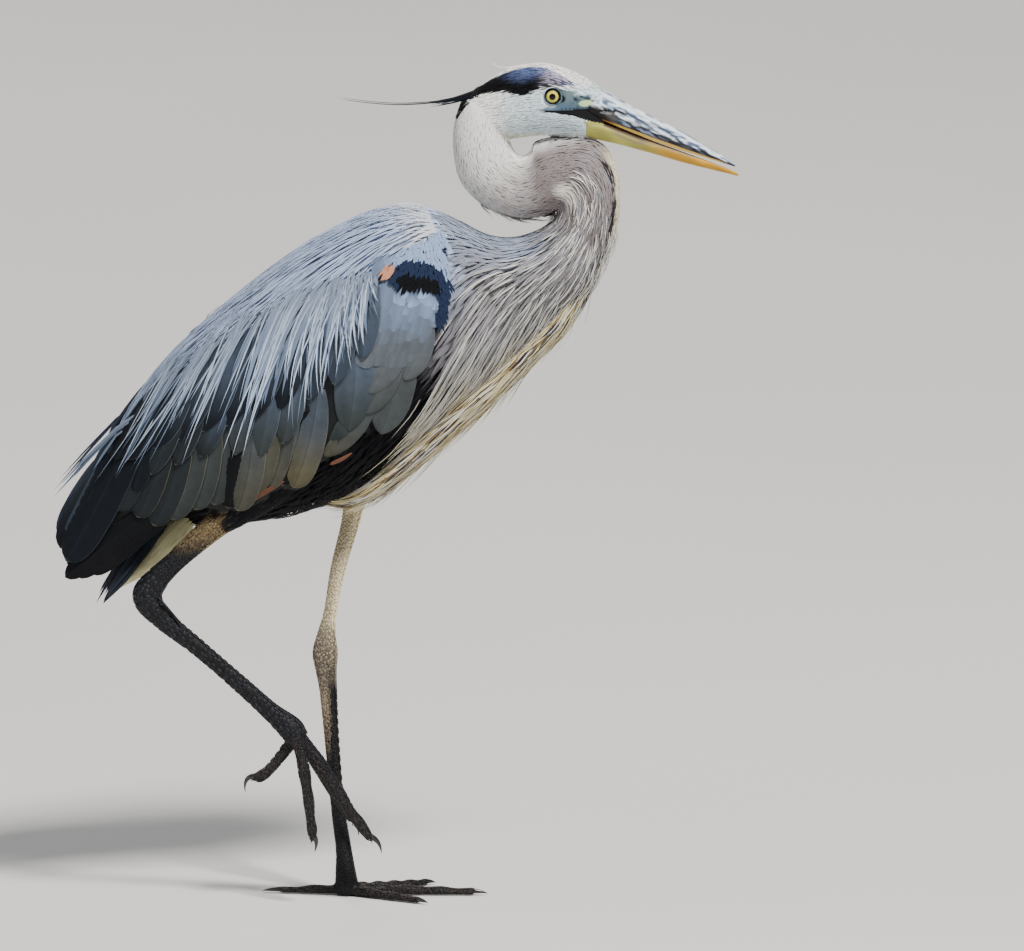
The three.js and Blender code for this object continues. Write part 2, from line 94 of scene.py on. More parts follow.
LIMBS = {
    "thigh_left": [
        (26, 36, 424, 17, 17), (18, 36, 402, 17, 16), (12, 34, 382, 13.5, 13), (8, 32, 366, 10.5, 10),
    ],
    "shank_left": [
        (8, 32, 366, 10.3, 9.6), (4, 30, 345, 8.6, 7.8), (-7, 25, 304, 7.3, 7), (-14, 20, 266, 6.2, 6.2),
        (-18, 17, 243, 8.8, 8),
    ],
    "tarsus_left": [
        (-18, 17, 243, 9, 8.2), (-19, 14, 227, 12, 11), (-18, 13, 210, 10, 8.8),
        (-16, 12, 190, 8.4, 7.2), (-12, 8, 137, 7, 6.2), (-7, 4, 81, 6.8, 6.2), (-2, 2, 44, 7.6, 7),
        (0, 0, 21, 9.8, 9.6), (1, 0, 9, 11, 11.5), (1, 0, 0, 9.5, 10),
    ],
    "thigh_right": [
        (-48, -36, 418, 26, 22), (-77, -38, 392, 22, 20), (-100, -41, 373, 16.5, 15.5),
        (-116, -42, 361, 13, 12),
    ],
    "shank_right": [
        (-116, -42, 361, 12.7, 11.7), (-135, -44, 345, 11.2, 10), (-158, -46, 324, 9.8, 8.8),
        (-173, -47.5, 310, 11, 9.5),
    ],
    "tarsus_right": [
        (-173, -47.5, 310, 11, 9.5), (-184, -48, 292, 13.8, 12), (-172, -47, 272, 10.4, 9.2),
        (-135, -46, 241, 8.2, 7.2), (-98, -44, 208, 8.2, 7.2), (-70, -42, 182, 9, 8),
        (-52, -40, 166, 12, 11.5), (-45, -40, 157, 11, 11),
    ],
}

# ==== smooth forms


def spline(table, share):
    """A table's columns at shares from 0 to 1 of its rows, on a curve that passes every row."""
    table = np.asarray(table, float)
    ends = np.vstack([2 * table[:1] - table[1:2], table, 2 * table[-1:] - table[-2:-1]])
    place = np.clip(np.asarray(share, float), 0, 1) * (len(table) - 1)
    row = np.minimum(place.astype(int), len(table) - 2)
    part = (place - row)[..., None]
    a, b, c, d = (ends[row + step] for step in range(4))
    lift = 2 * a - 5 * b + 4 * c - d
    return b + 0.5 * part * (c - a + part * (lift + part * (3 * (b - c) + d - a)))


def draws(seed):
    return np.random.default_rng(seed)


def unit(vectors):
    return vectors / np.maximum(np.linalg.norm(vectors, axis=-1, keepdims=True), 1e-12)


def upright(places):
    """Points in the bird's middle plane, from x and z."""
    return np.stack([places[..., 0], 0 * places[..., 0], places[..., 1]], -1)


class Form:
    """A body with oval sections. Turn 0 is a section's back, a quarter turn the bird's left."""

    def __init__(self, stations, square=2.0, egg=0.0):
        table = np.array(stations, float)
        self.upper = table[:, [0, 1]] * MM
        self.lower = table[:, [2, 3]] * MM
        self.width = table[:, 4:5] * MM
        self.square = square
        self.egg = egg

    def section(self, share):
        """Middle, rise to the back, reach to the left, and the two radii."""
        top, bottom = spline(self.upper, share), spline(self.lower, share)
        rise, middle = upright((top - bottom) / 2), upright((top + bottom) / 2)
        left = np.broadcast_to(LEFT, middle.shape)
        height = np.linalg.norm(rise, axis=-1)
        return middle, unit(rise), left, height, spline(self.width, share)[..., 0]

    def at(self, share, turn, out=0.0):
        """Points on the form, or that far outside it."""
        middle, rise, left, height, width = self.section(np.asarray(share, float))
        cosine, sine = np.cos(turn), np.sin(turn)
        up = np.sign(cosine) * np.abs(cosine) ** (2 / self.square)
        across = np.sign(sine) * np.abs(sine) ** (2 / self.square) * (1 + self.egg * up)
        return middle + rise * ((height + out) * up)[..., None] + left * ((width + out) * across)[..., None]

    def steer(self, share, turn, out=0.0):
        """Point, outward normal, unit ways along and round, and metres for each share and each radian."""
        step = 1e-4
        low, high = np.clip(share - step, 0, 1), np.clip(share + step, 0, 1)
        along = (self.at(high, turn, out) - self.at(low, turn, out)) / (high - low)[..., None]
        around = (self.at(share, turn + step, out) - self.at(share, turn - step, out)) / (2 * step)
        point = self.at(share, turn, out)
        normal = unit(np.cross(along, around))
        outward = point - self.section(share)[0]
        normal = normal * np.sign(np.sum(normal * outward, -1, keepdims=True) + 1e-15)
        per_share = np.linalg.norm(along, axis=-1)
        per_turn = np.linalg.norm(around, axis=-1)
        along = unit(along)
        around = unit(around - along * np.sum(along * around, -1, keepdims=True))
        return point, normal, along, around, per_share, per_turn


class Limb(Form):
    """A limb with oval sections square to its middle line."""

    def __init__(self, stations):
        table = np.array(stations, float) * MM
        self.spine = table[:, :3]
        self.radii = table[:, 3:5]
        self.square = 2.0
        self.egg = 0.0

    def section(self, share):
        low, high = np.clip(share - 1e-3, 0, 1), np.clip(share + 1e-3, 0, 1)
        tangent = unit(spline(self.spine, high) - spline(self.spine, low))
        left = unit(LEFT - tangent * tangent[..., 1:2])
        radii = spline(self.radii, share)
        return spline(self.spine, share), unit(np.cross(left, tangent)), left, radii[..., 0], radii[..., 1]


BODY = Form(BODY_STATIONS)
HEAD = Form(HEAD_STATIONS, square=2.15, egg=-0.05)
WINGS = Form(WING_STATIONS, square=2.2, egg=0.06)
UPPER_BILL = Form(UPPER_BILL_STATIONS, square=2.5, egg=-0.45)
LOWER_BILL = Form(LOWER_BILL_STATIONS, square=2.5, egg=0.35)
LEGS = {name: Limb(stations) for name, stations in LIMBS.items()}
BODY_ROWS = len(BODY_STATIONS) - 1

# ==== colours


def paint(code):
    """A web colour as linear red, green and blue."""
    values = np.array([int(code[i:i + 2], 16) / 255 for i in (1, 3, 5)])
    return np.where(values <= 0.04045, values / 12.92, ((values + 0.055) / 1.055) ** 2.4)


def smooth(value, low, high):
    """0 below low, 1 above high and a soft step between; high may be the lower one."""
    part = np.clip((value - low) / (high - low), 0, 1)
    return part * part * (3 - 2 * part)


def blend(first, second, mask):
    return first + (second - first) * np.asarray(mask)[..., None]


def layered(colour, *layers):
    """A colour with others over it in turn, each as far as its mask says."""
    for other, mask in layers:
        colour = blend(colour, other, mask)
    return colour


def by_row(rows, values, share):
    """A number, or a colour, that runs smoothly down the neck and trunk, given at some of its stations."""
    place = np.asarray(share) * BODY_ROWS
    values = np.asarray(values, float)
    if values.ndim == 1:
        return np.interp(place, rows, values)
    return np.stack([np.interp(place, rows, column) for column in values.T], -1)


# ==== meshes


def mesh_from(name, points, corners, starts, rounded):
    """A mesh from arrays; rounded tells which faces are shaded smooth."""
    mesh = bpy.data.meshes.new(name)
    mesh.vertices.add(len(points))
    mesh.vertices.foreach_set("co", np.ascontiguousarray(points, np.float32).ravel())
    mesh.loops.add(len(corners))
    mesh.loops.foreach_set("vertex_index", corners.astype(np.int32))
    mesh.polygons.add(len(starts))
    mesh.polygons.foreach_set("loop_start", starts.astype(np.int32))
    mesh.update(calc_edges=True)
    mesh.polygons.foreach_set("use_smooth", rounded)
    return mesh


def mesh_of(bm, name):
    """Turns a bmesh into a mesh that is shaded smooth."""
    mesh = bpy.data.meshes.new(name)
    bm.to_mesh(mesh)
    bm.free()
    mesh.polygons.foreach_set("use_smooth", np.ones(len(mesh.polygons), bool))
    return mesh


def set_tint(mesh, colours):
    """Stores a colour for each point, which the finish reads."""
    layer = mesh.color_attributes.new("tint", "FLOAT_COLOR", "POINT")
    data = np.ones((len(mesh.vertices), 4), np.float32)
    data[:, :3] = np.clip(colours, 0, 1)
    layer.data.foreach_set("color", data.ravel())


def set_map(mesh, name, per_point):
    """A UV map given by the place of each point."""
    corners = np.zeros(len(mesh.loops), np.int32)
    mesh.loops.foreach_get("vertex_index", corners)
    layer = mesh.uv_layers.new(name=name)
    layer.uv.foreach_set("vector", np.ascontiguousarray(per_point[corners], np.float32).ravel())


def place_piece(name, mesh, slot, finish, *replaced):
    """Adds a piece with its finish, and hides the nodes of the frame that it stands for."""
    piece = bpy.data.objects.new(name, mesh)
    bpy.context.scene.collection.objects.link(piece)
    mesh.materials.append(finish)
    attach(piece, "root")
    if replaced:
        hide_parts(*replaced)


def coords(mesh):
    points = np.zeros(len(mesh.vertices) * 3, np.float32)
    mesh.vertices.foreach_get("co", points)
    return points.reshape(-1, 3).astype(float)


def move_to(mesh, points):
    mesh.vertices.foreach_set("co", np.ascontiguousarray(points, np.float32).ravel())
    mesh.update()


def press_down(mesh):
    """Flattens the soles of a mesh onto the floor."""
    points = coords(mesh)
    high = points[:, 2]
    points[:, 2] = np.where(high < SOLE, (high + SUNK) * SOLE / (SOLE + SUNK), high)
    move_to(mesh, points)


def loft(form, rings, sides, out=0.0, last=1.0):
    """A closed bmesh of a form as far as the last share, or of what is that far outside it."""
    bm = bmesh.new()
    bmesh.ops.create_grid(bm, x_segments=rings, y_segments=sides, size=1)
    flat = np.array([vert.co for vert in bm.verts])
    share = last * (flat[:, 0] + 1) / 2
    far = out(share) if callable(out) else out
    for vert, point in zip(bm.verts, form.at(share, (flat[:, 1] + 1) / 2 * TAU, far)):
        vert.co = point
    bmesh.ops.remove_doubles(bm, verts=bm.verts, dist=WELD)
    rims = [edge for edge in bm.edges if edge.is_boundary]
    bmesh.ops.holes_fill(bm, edges=rims, sides=0)
    bmesh.ops.recalc_face_normals(bm, faces=bm.faces)
    return bm


# A slim feather's section: how far across it each point is, and how high, out of its half width.
TUFT_ACROSS = np.array([-1.0, 0.0, 1.0])
TUFT_HEIGHT = np.array([0.0, 1.0, 0.0])
ROUNDING = 0.3  # how far the shading of a slim feather's edges leans outwards
PATCH = 0.003  # side of a tuft's patch on the bake map


def vane_mesh(name, body, tips, body_tint, tip_tint, roots, across, mirrored=False, facing=None):
    """A mesh of many closed vanes, each with rings of a section that end in a tip.

    body and body_tint are (vanes, rings, sides, 3), tips and tip_tint (vanes, 3), roots the place
    of each on the bake map, (vanes, 2), and across how far each side is from one edge, from 0 to 1.
    facing holds which way the points of the upper side are shaded, where that isn't their own faces'.
    """
    count, rings, sides = body.shape[:3]
    if mirrored:
        body, tips = body * MIRROR, tips * MIRROR
    points = np.concatenate([body.reshape(count, -1, 3), tips[:, None, :]], 1)
    tip = rings * sides
    faces = [list(range(sides))]
    for ring in range(0, tip - sides, sides):
        for k in range(sides):
            after = (k + 1) % sides
            faces.append([ring + k, ring + sides + k, ring + sides + after, ring + after])
    faces += [[tip - sides + k, tip, tip - sides + (k + 1) % sides] for k in range(sides)]
    if mirrored:
        faces = [face[::-1] for face in faces]
    corners = np.array([index for face in faces for index in face])
    starts = np.cumsum([0] + [len(face) for face in faces[:-1]])
    offsets = np.arange(count)
    all_corners = (corners[None] + offsets[:, None] * (tip + 1)).ravel()
    all_starts = (starts[None] + offsets[:, None] * len(corners)).ravel()
    over = np.tile(np.arange(sides) < np.argmax(across), rings)
    upper = np.append(False, over)
    mesh = mesh_from(name, points.reshape(-1, 3), all_corners, all_starts, np.tile(upper, count))
    if facing is not None:
        kept = np.repeat(upper, [len(face) for face in faces])[None, :, None]
        turned = facing.reshape(-1, 3)[all_corners].reshape(count, -1, 3) * kept
        mesh.normals_split_custom_set(turned.reshape(-1, 3).astype(np.float32))
    set_tint(mesh, np.concatenate([body_tint.reshape(count, -1, 3), tip_tint[:, None, :]], 1).reshape(-1, 3))
    along = np.repeat(np.arange(rings) / rings, sides)
    vane = np.column_stack([np.append(np.tile(across, rings), 0.5), np.append(along, 1.0)])
    set_map(mesh, "Vane", np.tile(vane, (count, 1)))
    set_map(mesh, "OFBake", (roots[:, None, :] + (vane[None] - 0.5) * PATCH).reshape(-1, 2))
    return mesh


def sections(middle, side, normal, across, height):
    """The points of a section round each place of middle lines but the last, where the tip is."""
    flat, wide, high = (part[:, :-1, None, :] for part in (middle, side, normal))
    return flat + wide * across[..., None] + high * height[..., None]


def vanes(name, middle, side, normal, half_width, thickness, tints, roots):
    """A mesh of many slim pointed feathers, with a three-sided section along each middle line.

    middle, side, normal and tints are (vanes, rings + 1, 3), half_width and thickness
    (vanes, rings + 1), and roots (vanes, 2).
    """
    across = half_width[:, :-1, None] * TUFT_ACROSS
    body = sections(middle, side, normal, across, thickness[:, :-1, None] * TUFT_HEIGHT)
    body_tint = np.broadcast_to(tints[:, :-1, None, :], body.shape)
    facing = normal[:, :-1, None, :] + side[:, :-1, None, :] * (TUFT_ACROSS * ROUNDING)[..., None]
    facing = unit(np.concatenate([facing.reshape(len(middle), -1, 3), normal[:, -1:]], 1))
    return vane_mesh(name, body, middle[:, -1], body_tint, tints[:, -1], roots, (TUFT_ACROSS + 1) / 2,
                     facing=facing)


def ring_steps(rings):
    """How far along a feather each of its rings is, from 0 to 1."""
    return np.arange(rings + 1) / rings


def taper(shape, steps):
    """A width or thickness profile, given by its corners, at each step."""
    return np.interp(steps, *zip(*shape))


def off_back(turn):
    """How far round from turn 0 each turn is, either way."""
    return np.abs(np.angle(np.exp(1j * np.asarray(turn))))


# ==== finishes


class Wire:
    """A node's output that can be used in sums."""

    def __init__(self, shade, socket):
        self.shade = shade
        self.socket = socket

    def _sum(self, operation, first, second):
        return self.shade.node("ShaderNodeMath", {"operation": operation}, {0: first, 1: second})

    def __add__(self, other):
        return self._sum("ADD", self, other)

    def __radd__(self, other):
        return self._sum("ADD", other, self)

    def __sub__(self, other):
        return self._sum("SUBTRACT", self, other)

    def __rsub__(self, other):
        return self._sum("SUBTRACT", other, self)

    def __mul__(self, other):
        return self._sum("MULTIPLY", self, other)

    def __rmul__(self, other):
        return self._sum("MULTIPLY", other, self)


class Shade:
    """A finish under construction."""

    def __init__(self, name, **settings):
        self.material = bpy.data.materials.new(name)
        self.material.use_nodes = True
        self.tree = self.material.node_tree
        self.surface = self.tree.nodes["Principled BSDF"]
        for socket, value in settings.items():
            self.surface.inputs[socket.replace("_", " ")].default_value = value

    def node(self, kind, settings=None, sockets=None, output=0):
        """Adds a node, sets its own settings first and then its sockets, and gives one output."""
        node = self.tree.nodes.new(kind)
        for key, value in (settings or {}).items():
            if key == "stops":
                ramp = node.color_ramp
                while len(ramp.elements) < len(value):
                    ramp.elements.new(0.5)
                for element, (place, colour) in zip(ramp.elements, value):
                    element.position = place
                    element.color = (*colour, 1) if len(colour) == 3 else colour
            else:
                setattr(node, key, value)
        for key, value in (sockets or {}).items():
            self.join(value, node.inputs[key])
        return Wire(self, node.outputs[output])

    def join(self, value, socket):
        if isinstance(value, Wire):
            self.tree.links.new(value.socket, socket)
        else:
            socket.default_value = value

    def feed(self, **sockets):
        for key, value in sockets.items():
            self.join(value, self.surface.inputs[key.replace("_", " ")])
        return self.material

    def place(self):
        return self.node("ShaderNodeTexCoord", output="Object")

    def tint(self):
        return self.node("ShaderNodeAttribute", {"attribute_name": "tint"}, output="Color")

    def noise(self, scale, detail=2.0, vector=None):
        sockets = {"Vector": vector or self.place(), "Scale": scale, "Detail": detail}
        return self.node("ShaderNodeTexNoise", sockets=sockets, output="Fac")

    def shaded(self, colour, amount, low, high):
        """A colour made darker or lighter as amount runs from 0 to 1."""
        scale = self.node("ShaderNodeMapRange", sockets={"Value": amount, "To Min": low, "To Max": high})
        return self.node("ShaderNodeVectorMath", {"operation": "SCALE"}, {0: colour, "Scale": scale})

    def bump(self, height, strength, distance):
        sockets = {"Height": height, "Strength": strength, "Distance": distance}
        return self.node("ShaderNodeBump", sockets=sockets)


def feather_finish(name, roughness=0.8, sheen=0.04, barbs=26.0, dapple=0.17, grain=180.0):
    """Soft feathers: the stored colour, with fine slanting barbs on each vane."""
    shade = Shade(name, Roughness=roughness, Sheen_Weight=sheen, Sheen_Roughness=0.5,
                  Specular_IOR_Level=0.12)
    vane = shade.node("ShaderNodeUVMap", {"uv_map": "Vane"})
    parts = shade.node("ShaderNodeSeparateXYZ", sockets={0: vane})
    across, along = (Wire(shade, parts.socket.node.outputs[axis]) for axis in "XY")
    from_shaft = shade.node("ShaderNodeMath", {"operation": "ABSOLUTE"}, {0: across - 0.5})
    phase = (along - from_shaft * 0.5) * (barbs * TAU)
    height = shade.node("ShaderNodeMath", {"operation": "SINE"}, {0: phase}) * 0.5 + 0.5
    soft = shade.noise(grain, 4.0)
    colour = shade.shaded(shade.tint(), height * 0.4 + soft * 0.6, 1 - dapple, 1 + dapple)
    return shade.feed(Base_Color=colour, Normal=shade.bump(height, 0.25, 0.0002))


FEATHER = feather_finish("soft feather")
PLUME = feather_finish("long plume", roughness=0.7, barbs=40.0)
VANE = feather_finish("stiff vane", roughness=0.6, sheen=0.02, barbs=70.0, dapple=0.6, grain=90.0)

# ==== toes and claws

TOE_PAD = 0.8
TOE_ROOT, TOE_END = 1.15, 0.66  # how thick a toe is at its root and end, out of its girth
TOES = {  # length, heading from straight ahead, joints, girth and claw
    "middle": (118, -1, 4, 5.6, 15), "inner": (80, -33, 3, 5.2, 12),
    "outer": (88, 32, 5, 5.2, 11), "hallux": (60, 172, 2, 5.0, 20),
}
RIGHT_TOES = {
    "middle": [
        (-46, -40, 160, 7.6, 7.4), (-34, -40, 146, 6.2, 6.2), (-24, -40, 131, 7.2, 7.2),
        (-14, -40, 116, 6.0, 6.0), (-6, -39, 103, 6.6, 6.8), (5, -39, 86, 4.9, 5.0),
        (13, -38, 75, 5.6, 6), (20, -38, 65, 4.4, 4.6), (22.5, -38, 61, 3.4, 3.6),
        (24, -38, 58.6, 1.2, 1.2),
    ],
    "outer": [
        (-45, -46, 158, 6.4, 6.4), (-41, -49, 141, 5.4, 5.4), (-38, -52, 125, 6.0, 6.0),
        (-36, -54, 112, 4.9, 5.0), (-34, -56, 99, 5.4, 5.4), (-32.5, -58, 84, 4.4, 4.4),
        (-31, -59, 73, 4.9, 5.0), (-31, -59, 66, 3.4, 3.6), (-31.3, -59, 62.5, 1.2, 1.2),
    ],
    "inner": [
        (-42, -34, 156, 6.2, 6.2), (-22, -23, 120, 5.5, 5.2), (-8, -17, 95, 4.8, 4.7),
        (4, -14, 76, 3.6, 3.6), (6, -13.4, 72.4, 1.2, 1.2),
    ],
    "hallux": [
        (-47, -38, 156, 6.4, 6.2), (-60, -36, 138, 5.4, 5.2), (-71, -36, 125, 5.2, 5.2),
        (-78, -36, 119.5, 5.6, 5.6), (-83, -36, 117.4, 4.4, 4.4), (-86, -36, 116, 1.4, 1.4),
    ],
}
RIGHT_CLAWS = {
    "middle": [(20.5, -38, 63.5), (33, -38, 60), (33.5, -38, 46.5)],
    "outer": [(-31, -59, 68), (-24.5, -59.3, 63), (-28.5, -59.5, 52)],
    "inner": [(2.5, -13.9, 77), (13, -13, 72), (12, -13, 59)],
    "hallux": [(-80.5, -36, 119), (-96, -36, 121), (-93, -36, 104)],
}
CLAW_GIRTH = 2.9


def ahead(toe, reach):
    """The x and y of a place that far along a toe of the standing foot."""
    turn = math.radians(TOES[toe][1])
    return reach * math.cos(turn), reach * math.sin(turn)


def ground_toe(toe):
    """Stations of a toe that lies on the ground, thicker at each of its joints, with a blunt end."""
    length, _, joints, girth, _ = TOES[toe]
    steps = joints * 2
    stations = []
    for i in range(steps + 1):
        swell = 1.08 if i % 2 == 0 else 0.94
        radius = girth * swell * (TOE_ROOT + (TOE_END - TOE_ROOT) * i / steps)
        stations.append((*ahead(toe, length * i / steps), radius - TOE_PAD, radius, radius))
    return stations + [(*ahead(toe, length + 2.0), radius * 0.75, radius * 0.35, radius * 0.35)]


def claw_line(toe, side):
    """Three points along a claw: its root, its bend and its tip."""
    if side == "right":
        return RIGHT_CLAWS[toe]
    length, _, _, girth, claw = TOES[toe]
    base = girth * TOE_END
    reaches = ((length - 3.5, base), (length + claw * 0.6, base * 1.05), (length + claw, 0.9))
    return [(*ahead(toe, reach), height) for reach, height in reaches]


TOE_FORMS = {}
for toe in TOES:
    TOE_FORMS[f"toe_{toe}_left"] = Limb(ground_toe(toe))
    TOE_FORMS[f"toe_{toe}_right"] = Limb(RIGHT_TOES[toe])
LIMB_FORMS = {**LEGS, **TOE_FORMS}

# ==== markings

WHITE = paint("#f4f2ee")
BLACK = paint("#0b0c12")
NAVY = paint("#1a2236")
MAUVE = paint("#857c7d")
NECK_WARM = paint("#7b7069")
NECK_COOL = paint("#9b9ca4")
NECK_PALE = paint("#f0ebe4")
NECK_GREY = paint("#7b787c")
MANTLE_GREY = paint("#8e9bb1")
CREAM = paint("#e6dcc2")

EYE_AT = np.array([192.5, 15.0, 757.4])
EYE_RADIUS = 9.0
IRIS_RADIUS = 5.5
PUPIL_RADIUS = 3.0
LID_RADIUS = 7.4
SOCKET_REACH = 14
SOCKET_LEVEL = 18.4  # how far from the middle of the head the skin lies round the eye

# Bare parts of the face from the side.
LORE = [
    (179, 743.6), (200, 743.5), (243, 744), (243, 756), (230, 759.5), (216, 761.5), (206, 762.5),
    (199, 766.5), (193, 757), (190, 748.5), (185, 746),
]
GAPE = [
    (177, 743.4), (200, 743.8), (226, 745), (246, 745), (246, 726), (240, 729.8), (234, 731.2),
    (228, 732.4), (220, 735.2), (210, 738), (200, 740.2), (190, 742),
]
CHIN = [
    (221, 734), (228, 732.4), (234, 731.2), (240, 729.8), (246, 726), (246, 708), (230, 714), (226, 720),
    (227, 726),
]


def nape(x, z):
    """The black band down the back of the head behind the crest."""
    line = np.interp(x, [98, 101, 106, 112, 119, 125], [734, 737, 744, 751, 756, 761])
    return smooth(z, line - 0.8, line + 0.8) * smooth(x, 130, 125)


def head_colour(points):
    """White face and crown with a black stripe from above the eye to the nape, with a painted blue and mauve
    sheen on the stripe. Points in millimetres.
    """
    x, y, z = points[..., 0], np.abs(points[..., 1]), points[..., 2]
    low = np.interp(x, [98, 112, 124, 135, 150, 160, 170, 180, 186, 196, 206, 214],
                    [736, 752, 759, 762, 763.5, 760.5, 759.5, 763, 766, 767, 765.5, 765])
    high = np.interp(x, [112, 130, 144, 158, 174, 188, 199, 208, 214, 219],
                     [768, 775, 781, 785.5, 786, 783, 778, 773, 769, 764])
    stripe = smooth(z, low - 1.0, low + 0.6) * smooth(z, high + 0.8, high - 0.8)
    rows = [125, 150, 200]
    stripe *= smooth(y, np.interp(x, rows, [0.5, 4.5, 7]), np.interp(x, rows, [2, 7.5, 11]))
    stripe *= smooth(x, 219, 214)
    stripe = np.maximum(stripe, nape(x, z))
    mottle = ripples(points, 0.9, 4.0)
    brow = smooth(np.hypot((x - 208) / 11, (z - 763) / 3.4), 1.1, 0.6) * smooth(mottle, 0.35, 0.6)
    # The stripe's blue over its upper part and mauve along its lower edge in front are a painted sheen.
    dark = layered(
        BLACK * 0.4,
        (BAND_SHEEN_BLUE, smooth(z, low + 7, high - 2) * smooth(x, 140, 170) * 0.8),
        (BAND_SHEEN_MAUVE, smooth(x, 180, 202) * smooth(z, low - 1, low + 4) * 0.85),
        (BLACK, smooth(mottle, 0.55, 0.7) * smooth(x, 180, 190) * smooth(z, low + 9, low + 4) * 0.8))
    return layered(
        WHITE,
        (MAUVE, smooth(x, 150, 120) * smooth(z, 752, 735) * 0.12),
        (FACE_BLUE, smooth(z, 772, 758) * smooth(z, 710, 724) * smooth(x, 130, 172) * 0.85),
        (THROAT_CREAM, smooth(z, 724, 717) * smooth(x, 145, 155) * smooth(x, 205, 180) * 0.7),
        (BROW_GREY, brow * 0.8),
        (dark, stripe))


# Colours of the painted sheen on the black stripe.
BAND_SHEEN_BLUE = paint("#5f6f9f")
BAND_SHEEN_MAUVE = paint("#b0abc3")
BROW_GREY = paint("#9a9cad")
THROAT_CREAM = paint("#bdb592")
FACE_BLUE = paint("#cadde7")
LORE_GREY = paint("#5a6d74")
LORE_BLUE = paint("#495e6f")
LORE_DARK = paint("#1f2836")
LORE_SPOTS = [
    (214, 755.2, 2.6, 1.9), (219.5, 757.2, 2.2, 1.1), (224.5, 755.6, 3.4, 1.3), (229.5, 753, 1.6, 1.0),
]
LORE_WHITE = paint("#cfdfec")
LORE_GREEN = paint("#b3cc98")
BILL_GREEN = paint("#a9a655")
BILL_ORANGE = paint("#bb8a28")
BILL_MAUVE = paint("#8a7a66")
BILL_MAROON = paint("#463234")
BILL_BLACK = paint("#15141a")
BILL_BLUE = paint("#8fa4c6")
BILL_PALE = paint("#dfe9f2")
BILL_SHADE = paint("#44546f")
BILL_BROWN = paint("#3c3a38")
TOMIUM = paint("#ecc860")
TOMIUM_RUST = paint("#9a6238")


def ripples(points, scale, seed):
    """A smooth wandering value from 0 to 1, for mottled bare skin."""
    x, y, z = (points[..., k] * scale for k in range(3))
    total = np.sin(x + seed + 1.7 * np.sin(z * 1.3 + seed))
    total = total + np.sin(z * 1.7 - seed + 1.3 * np.sin(x * 0.8)) + np.sin(y * 1.1 + x * 0.6)
    return np.clip(total / 4.4 + 0.5, 0, 1)


def face_colour(points):
    """The bare face from the side: grey lores with dark spots, black gape and pale bill base."""
    x, z = points[..., 0], points[..., 2] + 1
    mottle, fine = ripples(points, 0.75, 2.0), ripples(points, 1.9, 7.0)
    spots = smooth(mottle * 0.6 + fine * 0.4, 0.5, 0.66) * smooth(x, 207, 213)
    brow = np.zeros(x.shape)
    for spot_x, spot_z, wide, tall in LORE_SPOTS:
        reach = np.hypot((x - spot_x) / wide, (z + (x - spot_x) * 0.2 - spot_z) / tall)
        brow = np.maximum(brow, smooth(reach + fine * 0.5, 1.35, 1.0))
    white = smooth(x, 226, 232) + smooth(z, 757, 760) * smooth(x, 211, 217)
    below = smooth(np.abs(z - 746.4), 1.6, 0.6) * smooth(x, 196, 204) * smooth(x, 226, 218)
    before, above = x - EYE_AT[0], z - 1 - EYE_AT[2]
    gape = within(GAPE, x, z - 1)
    return layered(
        LORE_GREY,
        (LORE_BLUE, smooth(z, 757, 749)),
        (LORE_WHITE, np.clip(white, 0, 1)),
        (LORE_DARK, np.maximum(spots * 0.5, brow * 0.95)),
        (LORE_DARK, below * smooth(fine, 0.35, 0.55) * 0.75),
        (LORE_GREEN, smooth(np.hypot((x - 223.5) / 6.8, (z - 751) / 3.0), 1.15, 0.75)),
        (LORE_WHITE, smooth(np.hypot(before, above), 11.2, 9.6) * smooth(x, 197, 192) * 0.75),
        (BLACK * 0.5, gape),
        (BILL_GREEN, within(CHIN, x, z - 1) & ~gape),
        (BLACK, smooth(np.hypot((before - 7.6) / 1.3, above + 2.6), 4.2, 2.8)))


def neck_colour(points, share, turn, rng):
    """Mauve grey, white near the head, with a black-edged white stripe down the front of the lower bend and
    a painted highlight on the outside of the fold.
    """
    row = share * BODY_ROWS
    front = math.pi - np.abs(turn)
    chance = rng.random(len(share))
    x, y, z = points.T
    cloud = np.sin(x * 0.16 + 1.7 * np.sin(z * 0.11)) * np.sin(z * 0.19 + 1.3 * np.sin(x * 0.13))
    cloud = cloud * smooth(row, 1.5, 3.5)
    # A pale patch on the outside of the neck's fold, which is a painted highlight.
    fold = smooth(np.hypot((x - 200) / 17, (z - 668) / 12), 1.0, 0.2) * smooth(np.abs(y), 4, 10)
    edge = np.interp(row, [8, 10, 13], [0.62, 0.62, 0.5])
    streak = smooth(np.abs(front - edge), 0.2, 0.05) * smooth(row, 7.6, 8.4)
    flecks = smooth(front, 0.55, 0.25) * smooth(row, 2.5, 3.5) * smooth(row, 7.6, 6.8)
    black = (chance < 0.62 * streak) | (chance < 0.3 * flecks)
    greys = [WHITE, blend(WHITE, MAUVE, 0.15), blend(WHITE, MAUVE, 0.5), MAUVE, MAUVE, NECK_GREY, NECK_GREY,
             MANTLE_GREY]
    return layered(
        by_row([0, 1.2, 3, 5, 9, 12, 15, 17], greys, share),
        (MANTLE_GREY, smooth(np.abs(turn), 1.6, 0.6) * smooth(row, 9.5, 12.5) * 0.9),
        (NECK_WARM, smooth(cloud, 0.0, 0.9) * 0.34),
        (NECK_COOL, smooth(cloud, 0.0, -0.9) * 0.34),
        (NECK_PALE, fold * 0.9),
        (WHITE, smooth(front, 0.9, 0.3) * smooth(row, 7.4, 5.5) * 0.8),
        (CREAM, smooth(front, 0.62, 0.45) * smooth(row, 7.4, 8.4) * 0.9),
        (BLACK, black * 0.9),
        (BLACK, nape(x, z)))

# ==== roots and lines of feathers


CELLS_ALONG, CELLS_ROUND = 90, 64  # the grid that the first roots are thrown on
CROWDING = 2.2  # first roots for each square gap


def point_tree(points):
    """A search tree over points."""
    tree = KDTree(len(points))
    for index, point in enumerate(points):
        tree.insert(point, index)
    tree.balance()
    return tree


